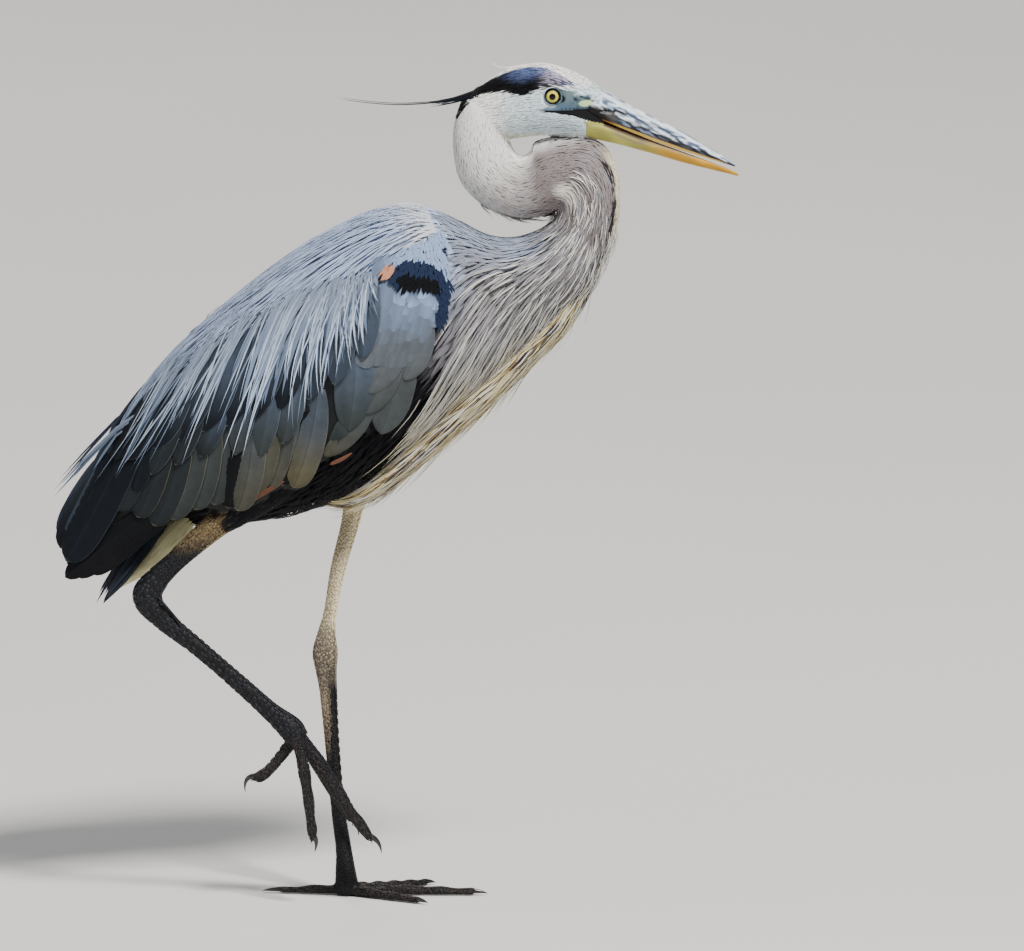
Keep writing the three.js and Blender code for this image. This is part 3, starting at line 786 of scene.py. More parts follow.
def scatter(form, rng, gap, first=0.0, last=1.0):
    """Evenly spread roots on a stretch of a form, none nearer to another than the gap, in metres.

    The roots come back as shares and turns.
    """
    shares = first + (last - first) * (np.arange(CELLS_ALONG) + 0.5) / CELLS_ALONG
    turns = TAU * (np.arange(CELLS_ROUND) + 0.5) / CELLS_ROUND - math.pi
    share_grid, turn_grid = (grid.ravel() for grid in np.meshgrid(shares, turns, indexing="ij"))
    per_share, per_turn = form.steer(share_grid, turn_grid)[4:]
    area = per_share * per_turn * (last - first) / CELLS_ALONG * TAU / CELLS_ROUND
    cell = np.repeat(np.arange(len(area)), rng.poisson(area * CROWDING / gap ** 2))
    rng.shuffle(cell)
    share = share_grid[cell] + (rng.random(len(cell)) - 0.5) * (last - first) / CELLS_ALONG
    turn = turn_grid[cell] + (rng.random(len(cell)) - 0.5) * TAU / CELLS_ROUND
    points = form.at(share, turn)
    tree = point_tree(points)
    kept = np.ones(len(points), bool)
    for index, point in enumerate(points):
        if kept[index]:
            for _, other, _ in tree.find_range(point, gap):
                if other > index:
                    kept[other] = False
    return share[kept], turn[kept]


def lay(form, share, turn, length, heading, lift, bend=0.0):
    """Middle lines over a form from the given roots, with the way to each one's side and outwards.

    heading is the angle from the way the form runs towards its turning side, bend what is added
    to it by the tip, and lift (vanes, rings + 1) how far outside the form each point lies.
    """
    rings = lift.shape[1] - 1
    share, turn = np.array(share, float), np.array(turn, float)
    middle, side, outward = [], [], []
    for ring in range(rings + 1):
        held = np.clip(share, 0, 1)
        point, normal, along, around, per_share, per_turn = form.steer(held, turn)
        point = point + along * ((share - held) * per_share)[:, None]
        angle = heading + bend * ring / rings
        way = along * np.cos(angle)[:, None] + around * np.sin(angle)[:, None]
        middle.append(point + normal * lift[:, ring, None])
        side.append(np.cross(normal, way))
        outward.append(normal)
        share = share + length / rings * np.cos(angle) / per_share
        turn = turn + length / rings * np.sin(angle) / np.maximum(per_turn, 0.004)
    return np.stack(middle, 1), np.stack(side, 1), np.stack(outward, 1)


def unroll(share, turn):
    """The place of each root on an unrolled form, from 0 to 1 both ways."""
    across = ((turn + math.pi) % TAU) / TAU
    span = max(float(np.ptp(share)), 1e-6)
    along = (share - share.min()) / span
    return np.column_stack([0.004 + 0.992 * across, 0.004 + 0.992 * along])


SOFT_SHAPE = ((0, 0.5), (0.3, 1.0), (0.7, 0.8), (1, 0.0))
THINNEST = 0.12 * MM
coat_roots = []  # where each feather leaves the skin, with its colour there


def fade(root_tint, change, part):
    """Tints from the root on: at each ring, the root's and that part of the change."""
    return root_tint[:, None] + change[:, None] * part[None, :, None]


def coat(name, slot, form, share, turn, length, width, heading, root_tint, tip_tint, depth,
         rng, rings=4, finish=FEATHER, shape=SOFT_SHAPE, stray=0.2, uneven=0.3, vary=0.2, thick=0.2,
         sink=0.0, over=0.0, eased=False, replaced=()):
    """Lays soft feathers on a form. Lengths, widths and depth are in metres.

    stray is the spread of their headings in radians, uneven of their heights and vary of their shades;
    sink is how far their tips dip into the coat and over how far the coat stands out from the form.
    An eased coat is shaded as the smoothed skin is, which hides the step where two forms meet.
    """
    count = len(share)
    length = np.broadcast_to(length, count) * (0.85 + 0.3 * rng.random(count))
    width = np.broadcast_to(width, count) * (0.8 + 0.4 * rng.random(count))
    heading = np.broadcast_to(heading, count) + (rng.random(count) - 0.5) * stray
    depth = np.broadcast_to(depth, count)
    steps = ring_steps(rings)
    top = depth * (1.05 - uneven / 2 + uneven * rng.random(count))
    rise = 0.86 * smooth(steps, 0, 0.5) + (0.14 - sink) * steps
    lift = -depth[:, None] * 1.15 + (top + over)[:, None] * rise
    middle, side, outward = lay(form, share, turn, length, heading, lift)
    profile = taper(shape, steps)
    half = width[:, None] / 2 * profile
    high = np.maximum(width[:, None] * thick, THINNEST) * profile
    tints = fade(root_tint, tip_tint - root_tint, steps ** 1.3)
    tints = tints * (1 - vary / 2 + vary * rng.random(count))[:, None, None]
    if eased:
        near = [eased_skin.find_nearest(Vector(point))[1] for point in middle.reshape(-1, 3)]
        outward = np.array(near).reshape(middle.shape)
    mesh = vanes(name, middle, side, outward, half, high, tints, unroll(share, turn))
    coat_roots.append((form.at(share, turn, -depth), root_tint))
    place_piece(name, mesh, slot, finish, *replaced)


def inside(tree, points, margin=0.0):
    """Which points lie that far within a closed surface."""
    result = np.zeros(len(points), bool)
    for index, point in enumerate(points):
        near, normal, _, _ = tree.find_nearest(Vector(point))
        result[index] = (Vector(point) - near).dot(normal) < -margin
    return result


# ==== skin

HEAD_DEPTH = 1.2 * MM
LEG_DEPTH = 0.35 * MM
WING_DEPTH = 4.5 * MM
WING_END = 0.93  # the skin stops before the feather tips
SKIN_VOXEL = 2.519 * MM


def body_depth(share):
    """How deep the coat is down the neck and trunk."""
    return by_row([0, 3, 8, 12, 16, 20, 25], [1.3, 1.5, 1.9, 3.2, 5.5, 7.0, 5.0], share) * MM


WING_OUTLINE = [  # the folded wing's edge from the side
    (60, 690), (84, 640), (93, 611), (96, 590), (91, 556), (79, 529), (60, 506), (58, 486), (50, 462),
    (37, 443), (20, 456), (2, 427), (-16, 421), (-42, 391), (-58, 396), (-92, 372), (-135, 371),
    (-167, 359), (-187, 350), (-200, 338), (-216, 330), (-236, 326), (-250, 334), (-290, 345),
    (-290, 480), (-160, 700),
]


def within(outline, x, z):
    """Which places lie inside a closed outline."""
    result = np.zeros(np.shape(x), bool)
    for (x0, z0), (x1, z1) in zip(outline, outline[1:] + outline[:1]):
        crosses = (z0 > z) != (z1 > z)
        rise = z1 - z0 if z1 != z0 else 1e-9
        result ^= crosses & (x < (x1 - x0) * (z - z0) / rise + x0)
    return result


def wing_loft():
    """The folded wings over the back, drawn in to the body beyond their own edge."""
    body = loft(BODY, 120, 48, lambda share: -body_depth(share) - 2 * MM)
    body_tree = BVHTree.FromBMesh(body)
    body.free()
    bm = loft(WINGS, 110, 90, -WING_DEPTH, WING_END)
    for vert in bm.verts:
        if not within(WING_OUTLINE, vert.co.x / MM, vert.co.z / MM):
            vert.co = body_tree.find_nearest(vert.co)[0]
    return bm


def applied(obj):
    """An object's mesh with its modifiers applied, and then taken off."""
    graph = bpy.context.evaluated_depsgraph_get()
    made = bpy.data.meshes.new_from_object(obj.evaluated_get(graph))
    obj.modifiers.clear()
    return made


def soften(obj, factor, iterations):
    modifier = obj.modifiers.new("soften", "SMOOTH")
    modifier.factor = factor
    modifier.iterations = iterations


def make_skin():
    """One skin over the head, neck, trunk, legs and toes, inside them by the depth of the coat."""
    parts = [loft(BODY, 160, 64, lambda share: -body_depth(share))]
    parts += [loft(HEAD, 60, 48, -HEAD_DEPTH), wing_loft()]
    parts += [loft(limb, 50, 24, -LEG_DEPTH) for limb in LIMB_FORMS.values()]
    bm = bmesh.new()
    for part in parts:
        spare = mesh_of(part, "spare")
        bm.from_mesh(spare)
        bpy.data.meshes.remove(spare)
    skin = bpy.data.objects.new("skin", mesh_of(bm, "skin"))
    bpy.context.scene.collection.objects.link(skin)
    remesh = skin.modifiers.new("remesh", "REMESH")
    remesh.mode = "VOXEL"
    remesh.voxel_size = SKIN_VOXEL
    remesh.use_smooth_shade = True
    soften(skin, 0.5, 2)
    skin.data = applied(skin)
    skin.data.name = "skin"
    return skin


def tree_of(mesh):
    bm = bmesh.new()
    bm.from_mesh(mesh)
    tree = BVHTree.FromBMesh(bm)
    bm.free()
    return tree


def ease(obj):
    """A search tree over a smoother copy of a mesh."""
    soften(obj, 0.6, 30)
    made = applied(obj)
    tree = tree_of(made)
    bpy.data.meshes.remove(made)
    return tree


skin = make_skin()
skin_tree = tree_of(skin.data)
eased_skin = ease(skin)

# ==== coat of the head and neck


def down_side(turn, amount):
    """A heading that turns down the flank on both sides by that angle."""
    return np.where(turn < 0, -amount, amount)


def flow(share, turn):
    """How far the feathers of the neck and breast turn down from the way the body runs."""
    rows = [10, 11, 12, 13, 14, 15, 16, 17, 18, 19, 20, 25]
    angle = np.radians(np.interp(share * BODY_ROWS, rows, [0, 4, 8, 16, 25, 30, 30, 22, 13, 7, 3, 0]))
    off, front = np.abs(turn), math.pi - np.abs(turn)
    return down_side(turn, angle * smooth(off, 0.3, 1.5) * smooth(front, 0.15, 1.0))


def streaked(rng, count, colours, shares):
    """Each feather's own colour out of a few."""
    return np.array(colours)[rng.choice(len(colours), count, p=shares)]


def bare_face(x, z):
    """Which places lie on the face's bare parts."""
    return within(LORE, x, z) | within(GAPE, x, z) | within(CHIN, x, z)


def eye_reach(x, z):
    """How far each place is from the middle of the eye, from the side, in millimetres."""
    return np.hypot(x - EYE_AT[0], z - EYE_AT[2])


def body_roots(rng, gap, first_row, last_row, margin):
    """Roots between two stations of the neck and trunk, off the other parts, and the coat's depth there."""
    share, turn = scatter(BODY, rng, gap, first_row / BODY_ROWS, last_row / BODY_ROWS)
    depth = body_depth(share)
    shown = ~inside(skin_tree, BODY.at(share, turn, -depth), margin)
    return share[shown], turn[shown], depth[shown]


def make_head_coat():
    """Small feathers that run back from the bill over the head."""
    rng = draws(11)
    share, turn = scatter(HEAD, rng, 1.45 * MM)
    points = HEAD.at(share, turn) / MM
    x, z = (points[:, axis] + (rng.random(len(share)) - 0.5) * 1.6 for axis in (0, 2))
    bare = (eye_reach(x, z) < LID_RADIUS + 1.6) | bare_face(x, z)
    bare &= (np.abs(points[:, 1]) > 7) | (z < 735)
    bare |= (x > 223) & (z < 745)
    share, turn, tint = share[~bare], turn[~bare], head_colour(points[~bare])
    coat("head_coat", "head_feathers", HEAD, share, turn, 8 * MM, 1.3 * MM, math.pi,
         tint * 0.95, tint, HEAD_DEPTH, rng, rings=3, vary=0.1, stray=0.3, eased=True)


HAIR_SHAPE = ((0, 0.6), (0.25, 1.0), (0.6, 0.8), (1, 0.0))


def make_neck_coat(name, seed, first_row, last_row, gap, length, width, vary, rings=5, uneven=0.25,
                   shape=HAIR_SHAPE):
    """The soft coat of a stretch of the neck; gap, length and width are in millimetres."""
    rng = draws(seed)
    share, turn, depth = body_roots(rng, gap * MM, first_row, last_row, 1.5 * MM)
    tint = neck_colour(BODY.at(share, turn) / MM, share, turn, rng)
    coat(name, "neck_feathers", BODY, share, turn, length * MM, width * MM, flow(share, turn),
         tint * 0.95, tint, depth, rng, rings=rings, vary=vary, uneven=uneven, thick=0.14, sink=0.2,
         stray=0.16, shape=shape, eased=True)


def strands(name, slot, middle, side, half, high, tints, level, finish, *replaced):
    """Single loose feathers along given lines, broad across one way; level is their height on the map."""
    way = unit(np.gradient(middle, axis=1))
    across = unit(np.cross(np.array(side, float), way))
    roots = np.column_stack([np.linspace(0.1, 0.9, len(middle)), np.full(len(middle), level)])
    tints = np.broadcast_to(tints, middle.shape)
    mesh = vanes(name, middle, across, np.cross(way, across), half, high, tints, roots)
    place_piece(name, mesh, slot, finish, *replaced)


def make_neck_wisps():
    """Loose tips that stand off the outside of the upper bend."""
    rng = draws(15)
    tufts, each = 26, 7
    count = tufts * each
    steps = ring_steps(6)
    share = np.repeat(2.7 + 3.3 * rng.random(tufts), each) + (rng.random(count) - 0.5) * 0.12
    share = share / BODY_ROWS
    turn = np.repeat((rng.random(tufts) - 0.5) * 1.3, each) + (rng.random(count) - 0.5) * 0.14
    length = np.repeat(16 + 10 * rng.random(tufts), each) * (0.75 + 0.3 * rng.random(count)) * MM
    off = np.repeat(2.0 + 5.0 * rng.random(tufts) ** 1.5, each)[:, None] * MM
    lift = -body_depth(share)[:, None] * (1 - smooth(steps, 0, 0.4)) + off * steps ** 1.6
    middle, across, outward = lay(BODY, share, turn, length, (rng.random(count) - 0.5) * 0.5, lift)
    tint = neck_colour(BODY.at(share, turn) / MM, share, turn, rng)
    half = (1.3 + 0.8 * rng.random(count))[:, None] * MM / 2 * taper(HAIR_SHAPE, steps)
    tints = np.broadcast_to(tint[:, None] * 0.85, middle.shape)
    mesh = vanes("neck_wisps", middle, across, outward, half, half * 0.4, tints, unroll(share, turn))
    place_piece("neck_wisps", mesh, "neck_feathers", FEATHER)


def make_crown_wisp():
    """A curled wisp of two strands on the crown."""
    steps = ring_steps(10)
    x, z = spline([(172, 784.5), (160, 782.5), (149, 781), (141, 782.5), (136, 787)], steps).T
    lines = [np.column_stack([x + off, np.full(len(x), off * 1.5), z - off * 0.4]) for off in (-0.6, 0.6)]
    half = np.full((2, 1), 1.8) * MM / 2 * taper(HAIR_SHAPE, steps)
    strands("crown_wisp", "head_feathers", np.array(lines) * MM, (0, 1, 0.2), half, half * 0.5, WHITE, 0.47,
            FEATHER)


def make_neck_streaks():
    """Single pale feathers that fall over the fold where the neck turns down."""
    rng = draws(17)
    share, turn = scatter(BODY, rng, 2.6 * MM, 7.0 / BODY_ROWS, 13.5 / BODY_ROWS)
    x, _, z = (BODY.at(share, turn) / MM).T
    kept = within(NECK_FOLD, x, z) & (rng.random(len(share)) < 0.75)
    share, turn = share[kept], turn[kept]
    tint = streaked(rng, len(share), [NECK_PALE, NECK_COOL * 1.2, NECK_WARM * 0.7], [0.42, 0.33, 0.25])
    coat("neck_streaks", "neck_feathers", BODY, share, turn, 24 * MM, 0.8 * MM, flow(share, turn) * 1.15,
         tint * 0.9, tint, body_depth(share), rng, rings=7, shape=HAIR_SHAPE, stray=0.5, uneven=0.2,
         over=0.7 * MM, sink=0.05)


NECK_FOLD = [
    (186, 672), (204, 690), (222, 694), (236, 680), (244, 650), (240, 616), (220, 606), (204, 622),
    (196, 650),
]


def make_nape():
    """Black feathers down the back of the head, under the crest."""
    rng = draws(16)
    low = scatter(BODY, rng, 1.3 * MM, 0.0, 1.4 / BODY_ROWS)
    high = scatter(HEAD, rng, 1.3 * MM, 0.0, 0.35)
    coats = (("nape_coat", BODY, low, 0.0), ("nape_coat_upper", HEAD, high, math.pi))
    for name, form, roots, heading in coats:
        x, _, z = (form.at(*roots) / MM).T
        kept = within(NAPE, x, z)
        share, turn = (part[kept] for part in roots)
        tint = np.tile(BLACK, (len(share), 1))
        coat(name, "head_feathers", form, share, turn, 7 * MM, 1.5 * MM, heading, tint, tint, 2 * MM, rng,
             over=1.6 * MM, sink=0.5, thick=0.12, eased=True)


NAPE = [
    (126, 768), (129, 758), (121, 756.5), (113.5, 750), (108.5, 743.5), (105, 738), (96, 736), (96, 750),
    (106, 762),
]

make_head_coat()
make_nape()
make_neck_coat("neck_coat_upper", 12, 0, 7, 1.64, 9.5, 1.8, 0.07, rings=3, uneven=0.1, shape=SOFT_SHAPE)
make_neck_coat("neck_coat_middle", 13, 7, 11, 1.8, 17, 1.6, 0.14, rings=4, uneven=0.2)
make_neck_coat("neck_coat_lower", 14, 11, 16, 2.9, 32, 2.2, 0.2)
make_neck_wisps()
make_crown_wisp()
make_neck_streaks()

# ==== wings

HALVINGS = 22
SIDE_REACH = (-0.9, 0.93)  # how near to a section's front and back edges a place may come


def seen_from_side(form, x, z):
    """Share and turn, on the right side, of the places that have this x and z in millimetres."""
    x, z = np.asarray(x, float) * MM, np.asarray(z, float) * MM
    low, high = np.zeros(x.shape), np.ones(x.shape)
    for _ in range(HALVINGS):
        share = (low + high) / 2
        upper, lower = spline(form.upper, share), spline(form.lower, share)
        run, to = lower - upper, np.stack([x, z], -1) - upper
        behind = run[..., 0] * to[..., 1] - run[..., 1] * to[..., 0] < 0
        low, high = np.where(behind, share, low), np.where(behind, high, share)
    down = np.sum(to * run, -1) / np.sum(run * run, -1)
    up = np.clip(1 - 2 * down, *SIDE_REACH)
    cosine = np.sign(up) * np.abs(up) ** (form.square / 2)
    return share, -np.arccos(np.clip(cosine, -1, 1))


def drape(form, x, z, out):
    """Points on the right side of a form at x and z, that many millimetres out, and the way out."""
    share, turn = seen_from_side(form, x, z)
    point, normal = form.steer(share, turn)[:2]
    point = np.stack([np.asarray(x) * MM, point[..., 1], np.asarray(z) * MM], -1)
    return point + normal * (np.asarray(out) * MM)[..., None], normal


def arc(root, tip, bow, steps):
    """Bent lines from roots to tips, given from the side, that stand off their chords by bow."""
    run = tip - root
    across = np.column_stack([-run[:, 1], run[:, 0]])
    bend = (root + tip) / 2 + across * np.asarray(bow)[:, None]
    part = steps[None, :, None]
    return (1 - part) ** 2 * root[:, None] + 2 * part * (1 - part) * bend[:, None] + part ** 2 * tip[:, None]


def hang(form, root, tip, bow, out, steps):
    """Middle lines draped over a form between places given from the side, with their sides and ways out."""
    line = arc(root, tip, bow, steps)
    middle, outward = drape(form, line[..., 0], line[..., 1], out)
    side = unit(np.cross(outward, np.gradient(middle, axis=1)))
    return middle, side, outward


# A broad feather's section: how far across it each point is, and how high over the feather's base.
BROAD_ACROSS = np.array([-1, -0.93, -0.5, -0.06, 0, 0.06, 0.5, 0.93, 1, 0.5, -0.5])
BROAD_HEIGHT = np.array([0, 0.3, 0.65, 0.8, 1.05, 0.8, 0.65, 0.3, 0, -0.25, -0.25])
LAYER_BASE = 3.1  # how far inside the wing's outer form the lowest layer of feathers lies
BROAD_SHAPE = (
    (0, 0.45), (0.12, 0.72), (0.35, 0.95), (0.6, 1.0), (0.82, 0.93), (0.92, 0.74), (0.97, 0.5), (1, 0),
)
POINTED_SHAPE = (
    (0, 0.5), (0.15, 0.8), (0.4, 1.0), (0.65, 0.96), (0.82, 0.76), (0.92, 0.48), (0.97, 0.26), (1, 0),
)


def along_row(colours, share):
    """A colour, or a number, that changes along a row of feathers."""
    colours = np.atleast_2d(np.asarray(colours, float))
    places = np.linspace(0, 1, len(colours))
    return np.stack([np.interp(share, places, column) for column in colours.T], -1)


def section_shade(edge, shaft):
    """How bright each point of a broad feather's section is."""
    off = np.abs(BROAD_ACROSS)
    return np.where(off > 0.99, edge, np.where(off < 0.01, shaft, 1.0))


def broad_feathers(name, slot, form, feathers, layer, tint, tip_tint, seed, tilt=-0.9, rings=16, edge=1.0,
                   rim=None, shaft=0.8, shape=BROAD_SHAPE, mirrored=False, finish=VANE, soft=False,
                   replaced=()):
    """Overlapping broad feathers, each from the side: root x and z, tip x and z, width and bow.

    layer is how many millimetres out each lies, given evenly along the row or for each feather; tilt
    raises each one's rear edge; rim is the colour of the edges, and edge and shaft shade those parts.
    A soft row is shaded as the form under it is.
    """
    rng = draws(seed)
    table = np.array(feathers, float)
    count = len(table)
    share = np.linspace(0, 1, count)
    root, tip, width, bow = table[:, :2], table[:, 2:4], table[:, 4], table[:, 5]
    if mirrored:
        tip = tip + (rng.random((count, 2)) - 0.5) * 5 + (0, 3)
    steps = 1 - (1 - ring_steps(rings)) ** 1.35
    middle = arc(root, tip, bow, steps)
    way = unit(np.gradient(middle, axis=1))
    side = np.stack([-way[..., 1], way[..., 0]], -1)
    half = (width * (0.96 + 0.08 * rng.random(count)) / 2)[:, None] * taper(shape, steps)
    spread = middle[:, :, None, :] + side[:, :, None, :] * (half[..., None] * BROAD_ACROSS)[..., None]
    level = along_row(np.array(layer)[:, None], share) * (0.35 + 0.65 * smooth(steps, 0, 0.5))
    height = level[..., None] - LAYER_BASE + BROAD_HEIGHT - tilt * BROAD_ACROSS
    body, facing = drape(form, spread[:, :-1, :, 0], spread[:, :-1, :, 1], height[:, :-1])
    tips_at, tips_facing = drape(form, middle[:, -1, 0], middle[:, -1, 1], level[:, -1] - LAYER_BASE + 0.4)
    shift = (0.93 + 0.14 * rng.random(count))[:, None]
    first, last = along_row(tint, share) * shift, along_row(tip_tint, share) * shift
    tints = fade(first, last - first, smooth(steps, 0.25, 0.95))
    # The cosine across each vane paints a sheen: lighter and darker streaks along it.
    shade = section_shade(edge, shaft) * (1 + 0.14 * np.cos(BROAD_ACROSS * 5.5 - 1.0))
    body_tint, tip_colour = tints[:, :-1, None, :] * shade[None, None, :, None], tints[:, -1]
    if rim is not None:
        at_edge = smooth(np.abs(BROAD_ACROSS), 0.95, 0.99) * smooth(steps[:-1], 0.1, 0.4)[:, None]
        body_tint = blend(body_tint, rim, at_edge[None] * 0.7)
        tip_colour = blend(tip_colour, rim, 0.7)
    facing = np.concatenate([facing.reshape(count, -1, 3), tips_facing[:, None]], 1) if soft else None
    if soft and mirrored:
        facing = facing * MIRROR
    roots = unroll(*seen_from_side(form, root[:, 0], root[:, 1]))
    across = (BROAD_ACROSS + 1) / 2
    mesh = vane_mesh(name, body, tips_at, body_tint, tip_colour, roots, across, mirrored, facing)
    place_piece(name, mesh, slot, finish, *replaced)


COVERT_BLUE = paint("#465160")
COVERT_GREY = paint("#3f4446")
COVERT_TAUPE = paint("#4d5155")
COVERT_PALE = paint("#575e66")
DARK_SLATE = paint("#0e131a")
INK = paint("#07090d")
QUILL_OLIVE = paint("#45443c")
QUILL_GREY = paint("#303536")
QUILL_DARK = paint("#1f2428")
QUILL_BLUE = paint("#3b4554")
QUILL_SLATE = paint("#3d454f")
QUILL_TAN = paint("#514d3b")
PALE_BLUE = paint("#879bbe")
DEEP_RUST = paint("#63402f")
FLANK_RUST = paint("#6e4736")
RIM_DARK = paint("#3a4350")
RIM_OLIVE = paint("#77735f")
RIM_GREY = paint("#6c7681")

# Rows of wing feathers as seen from the side, the lowest layer first.
WING_ROWS = {
    "rust_edge": dict(
        slot="wing_coverts", layer=(1.6, 1.0), rings=8, tilt=1.2,
        tint=[FLANK_RUST, DEEP_RUST],
        tip_tint=[FLANK_RUST, DEEP_RUST],
        feathers=[(7, 428.5, -14, 418.5, 5, 0.05), (-56, 402, -90, 380.5, 6, -0.04)]),
    "primaries": dict(
        slot="primaries", layer=(0.0, 1.0), shaft=2.0, rim=DARK_SLATE,
        tint=[INK],
        tip_tint=[BLACK],
        feathers=[
            (-140, 392, -204, 345, 22, 0), (-145, 388, -221, 327, 22, 0),
            (-152, 384, -236, 309, 23, -0.02), (-158, 382, -250, 306, 24, -0.03),
            (-162, 384, -261, 305, 24, -0.03),
        ]),
    "secondaries": dict(
        slot="secondaries", layer=(1.4, 0.2, 1.0, 1.2, 3.0, 2.0, 1.2, 1.5, 1.8, 2.1, 2.4), rim=RIM_OLIVE,
        shaft=0.6,
        tint=[
            QUILL_SLATE, INK, QUILL_GREY, QUILL_OLIVE, COVERT_GREY, INK, QUILL_GREY, QUILL_GREY,
            QUILL_GREY, QUILL_DARK, QUILL_DARK,
        ],
        tip_tint=[
            QUILL_TAN, INK, QUILL_OLIVE, QUILL_OLIVE, QUILL_OLIVE, INK, QUILL_GREY, QUILL_GREY,
            QUILL_GREY, QUILL_DARK, QUILL_DARK,
        ],
        feathers=[
            (-25, 492, -48, 396, 30, 0.08), (-38, 476, -58, 398, 24, 0.06),
            (-52, 474, -69, 396, 20, 0.07), (-66, 474, -84, 391, 24, 0.07),
            (-86, 474, -100, 374, 30, 0.10), (-100, 468, -109, 376, 26, 0.04),
            (-112, 472, -122, 379, 25, 0.08), (-124, 470, -139, 374, 26, 0.09),
            (-136, 466, -161, 364, 28, 0.10), (-150, 460, -178, 358, 28, 0.09),
            (-165, 452, -193, 366, 27, 0.06),
        ]),
    "tertials": dict(
        slot="secondaries", layer=(2.6, 2.0, 3.2, 3.7, 4.2), rim=RIM_DARK, shaft=1.8,
        tint=[QUILL_DARK, QUILL_DARK, DARK_SLATE, DARK_SLATE, DARK_SLATE],
        tip_tint=[QUILL_DARK, DARK_SLATE, DARK_SLATE, DARK_SLATE, DARK_SLATE],
        feathers=[
            (-186, 446, -211, 372, 25, 0.05), (-206, 428, -266, 331, 30, -0.04),
            (-178, 476, -197, 390, 23, 0.06), (-190, 462, -259, 321, 37, 0.04),
            (-168, 494, -217, 419, 20, 0.05),
        ]),
    "coverts_rear": dict(
        slot="wing_coverts", layer=(3.6, 4.6), rim=RIM_GREY, shape=POINTED_SHAPE,
        tint=[COVERT_BLUE, QUILL_BLUE, QUILL_BLUE, QUILL_BLUE, QUILL_DARK, QUILL_DARK],
        tip_tint=[QUILL_GREY, QUILL_GREY, QUILL_GREY, QUILL_DARK, QUILL_DARK, QUILL_DARK],
        feathers=[
            (-46, 526, -58, 440, 27, 0.05), (-68, 516, -80, 427, 25, 0.05),
            (-90, 508, -102, 429, 24, 0.05), (-112, 502, -134, 427, 26, 0.06),
            (-134, 500, -157, 418, 26, 0.06), (-152, 496, -180, 408, 26, 0.06),
        ]),
    "coverts_front": dict(
        slot="wing_coverts", layer=(0.4, 1.8), edge=1.3, shape=POINTED_SHAPE,
        tint=[QUILL_GREY, COVERT_GREY, COVERT_GREY, COVERT_BLUE, COVERT_TAUPE, COVERT_PALE, COVERT_PALE],
        tip_tint=[
            QUILL_DARK, QUILL_OLIVE, COVERT_GREY, QUILL_GREY, COVERT_GREY, COVERT_TAUPE, COVERT_TAUPE,
        ],
        feathers=[
            (8, 470, -14, 426, 20, 0.05), (26, 482, -20, 427, 21, 0.14), (52, 535, 34, 446, 39, 0.06),
            (10, 548, 3, 450, 38, 0.05), (46, 548, 19, 467, 36, 0.10), (52, 566, 21, 487, 36, 0.10),
            (70, 565, 55, 499, 34, 0.12),
        ]),
    "scapulars_under": dict(
        slot="scapulars", layer=(4.4, 5.0), tilt=-0.8, rim=RIM_GREY, shape=POINTED_SHAPE,
        tint=[COVERT_BLUE, QUILL_BLUE, QUILL_BLUE, QUILL_DARK],
        tip_tint=[QUILL_BLUE, DARK_SLATE, DARK_SLATE, DARK_SLATE],
        feathers=[
            (22, 600, 16, 520, 28, 0.02), (2, 595, -10, 496, 30, 0.03), (-16, 590, -34, 482, 30, 0.03),
            (-34, 584, -62, 472, 32, 0.04), (-56, 574, -86, 462, 32, 0.04),
            (-78, 560, -110, 456, 32, 0.04), (-100, 546, -132, 450, 32, 0.04),
            (-122, 530, -154, 442, 32, 0.04), (-144, 512, -176, 432, 30, 0.03),
            (-164, 494, -200, 420, 28, 0.02),
        ]),
}


def make_wing_rows():
    for index, (name, row) in enumerate(WING_ROWS.items()):
        for side in ("right", "left"):
            replaced = [f"{name}_{side}"] if name in ("primaries", "secondaries") else []
            broad_feathers(f"{name}_row_{side}", form=WINGS, seed=100 + index * 2 + (side == "left"),
                           mirrored=side == "left", replaced=replaced, **row)


make_wing_rows()

# ==== back, shoulders and wing coverts

SCAPULAR_LINE = [
    (-262, 385), (-209, 415), (-153, 443), (-88, 481), (-42, 519), (-1, 549), (21, 589), (47, 615),
    (110, 640),
]
MANTLE_EDGE = [
    (-262, 385), (-214, 428), (-180, 462), (-130, 508), (-80, 548), (-40, 574), (0, 592), (18, 602),
    (50, 611), (110, 640),
]
PLUME_ROOTS = [
    (-160, 506), (-125, 535), (-92, 558), (-58, 574), (-34, 585), (-18, 590), (-4, 593), (4, 595),
    (10, 597), (16, 599), (22, 600), (28, 600),
]
PLUME_TIPS = [
    (-236, 384), (-206, 400), (-171, 407), (-121, 426), (-106, 420), (-80, 440), (-47, 444), (-28, 468),
    (-8, 496), (10, 514), (22, 538), (32, 566),
]
COVERT_REAR = [(500, 18), (520, 20), (545, 22), (565, 22), (585, 14), (600, 12)]  # z, x
COVERT_FRONT = [(500, 58), (520, 74), (545, 86), (565, 89), (585, 86), (600, 44)]
BEND_PATCH = [
    (45, 600), (49, 609), (60, 615), (75, 614), (88, 606), (96, 592), (98, 574), (92, 558), (85, 552),
    (84, 566), (87, 578), (83, 587), (70, 589), (55, 589),
]
BEND_DARK = [(52, 600), (60, 604), (72, 602), (85, 598), (88, 584), (83, 587), (70, 589), (55, 589)]
RUST_SPOT = [(36, 603), (44, 610), (51, 611), (48, 603), (43, 598)]


def line_at(line, value):
    first, second = zip(*line)
    return np.interp(value, first, second)


def wing_coat_roots(rng, gap, keep, last=1.0):
    """Roots on the folded wings, as shares, turns and millimetres, where keep says so."""
    share, turn = scatter(WINGS, rng, gap, 0.0, last)
    points = WINGS.at(share, turn) / MM
    x, z = points[:, 0], points[:, 2]
    off = np.abs(turn)
    kept = (within(WING_OUTLINE, x, z) | (off < 0.9)) & (off < 2.6) & keep(x, z)
    return share[kept], turn[kept], points[kept]


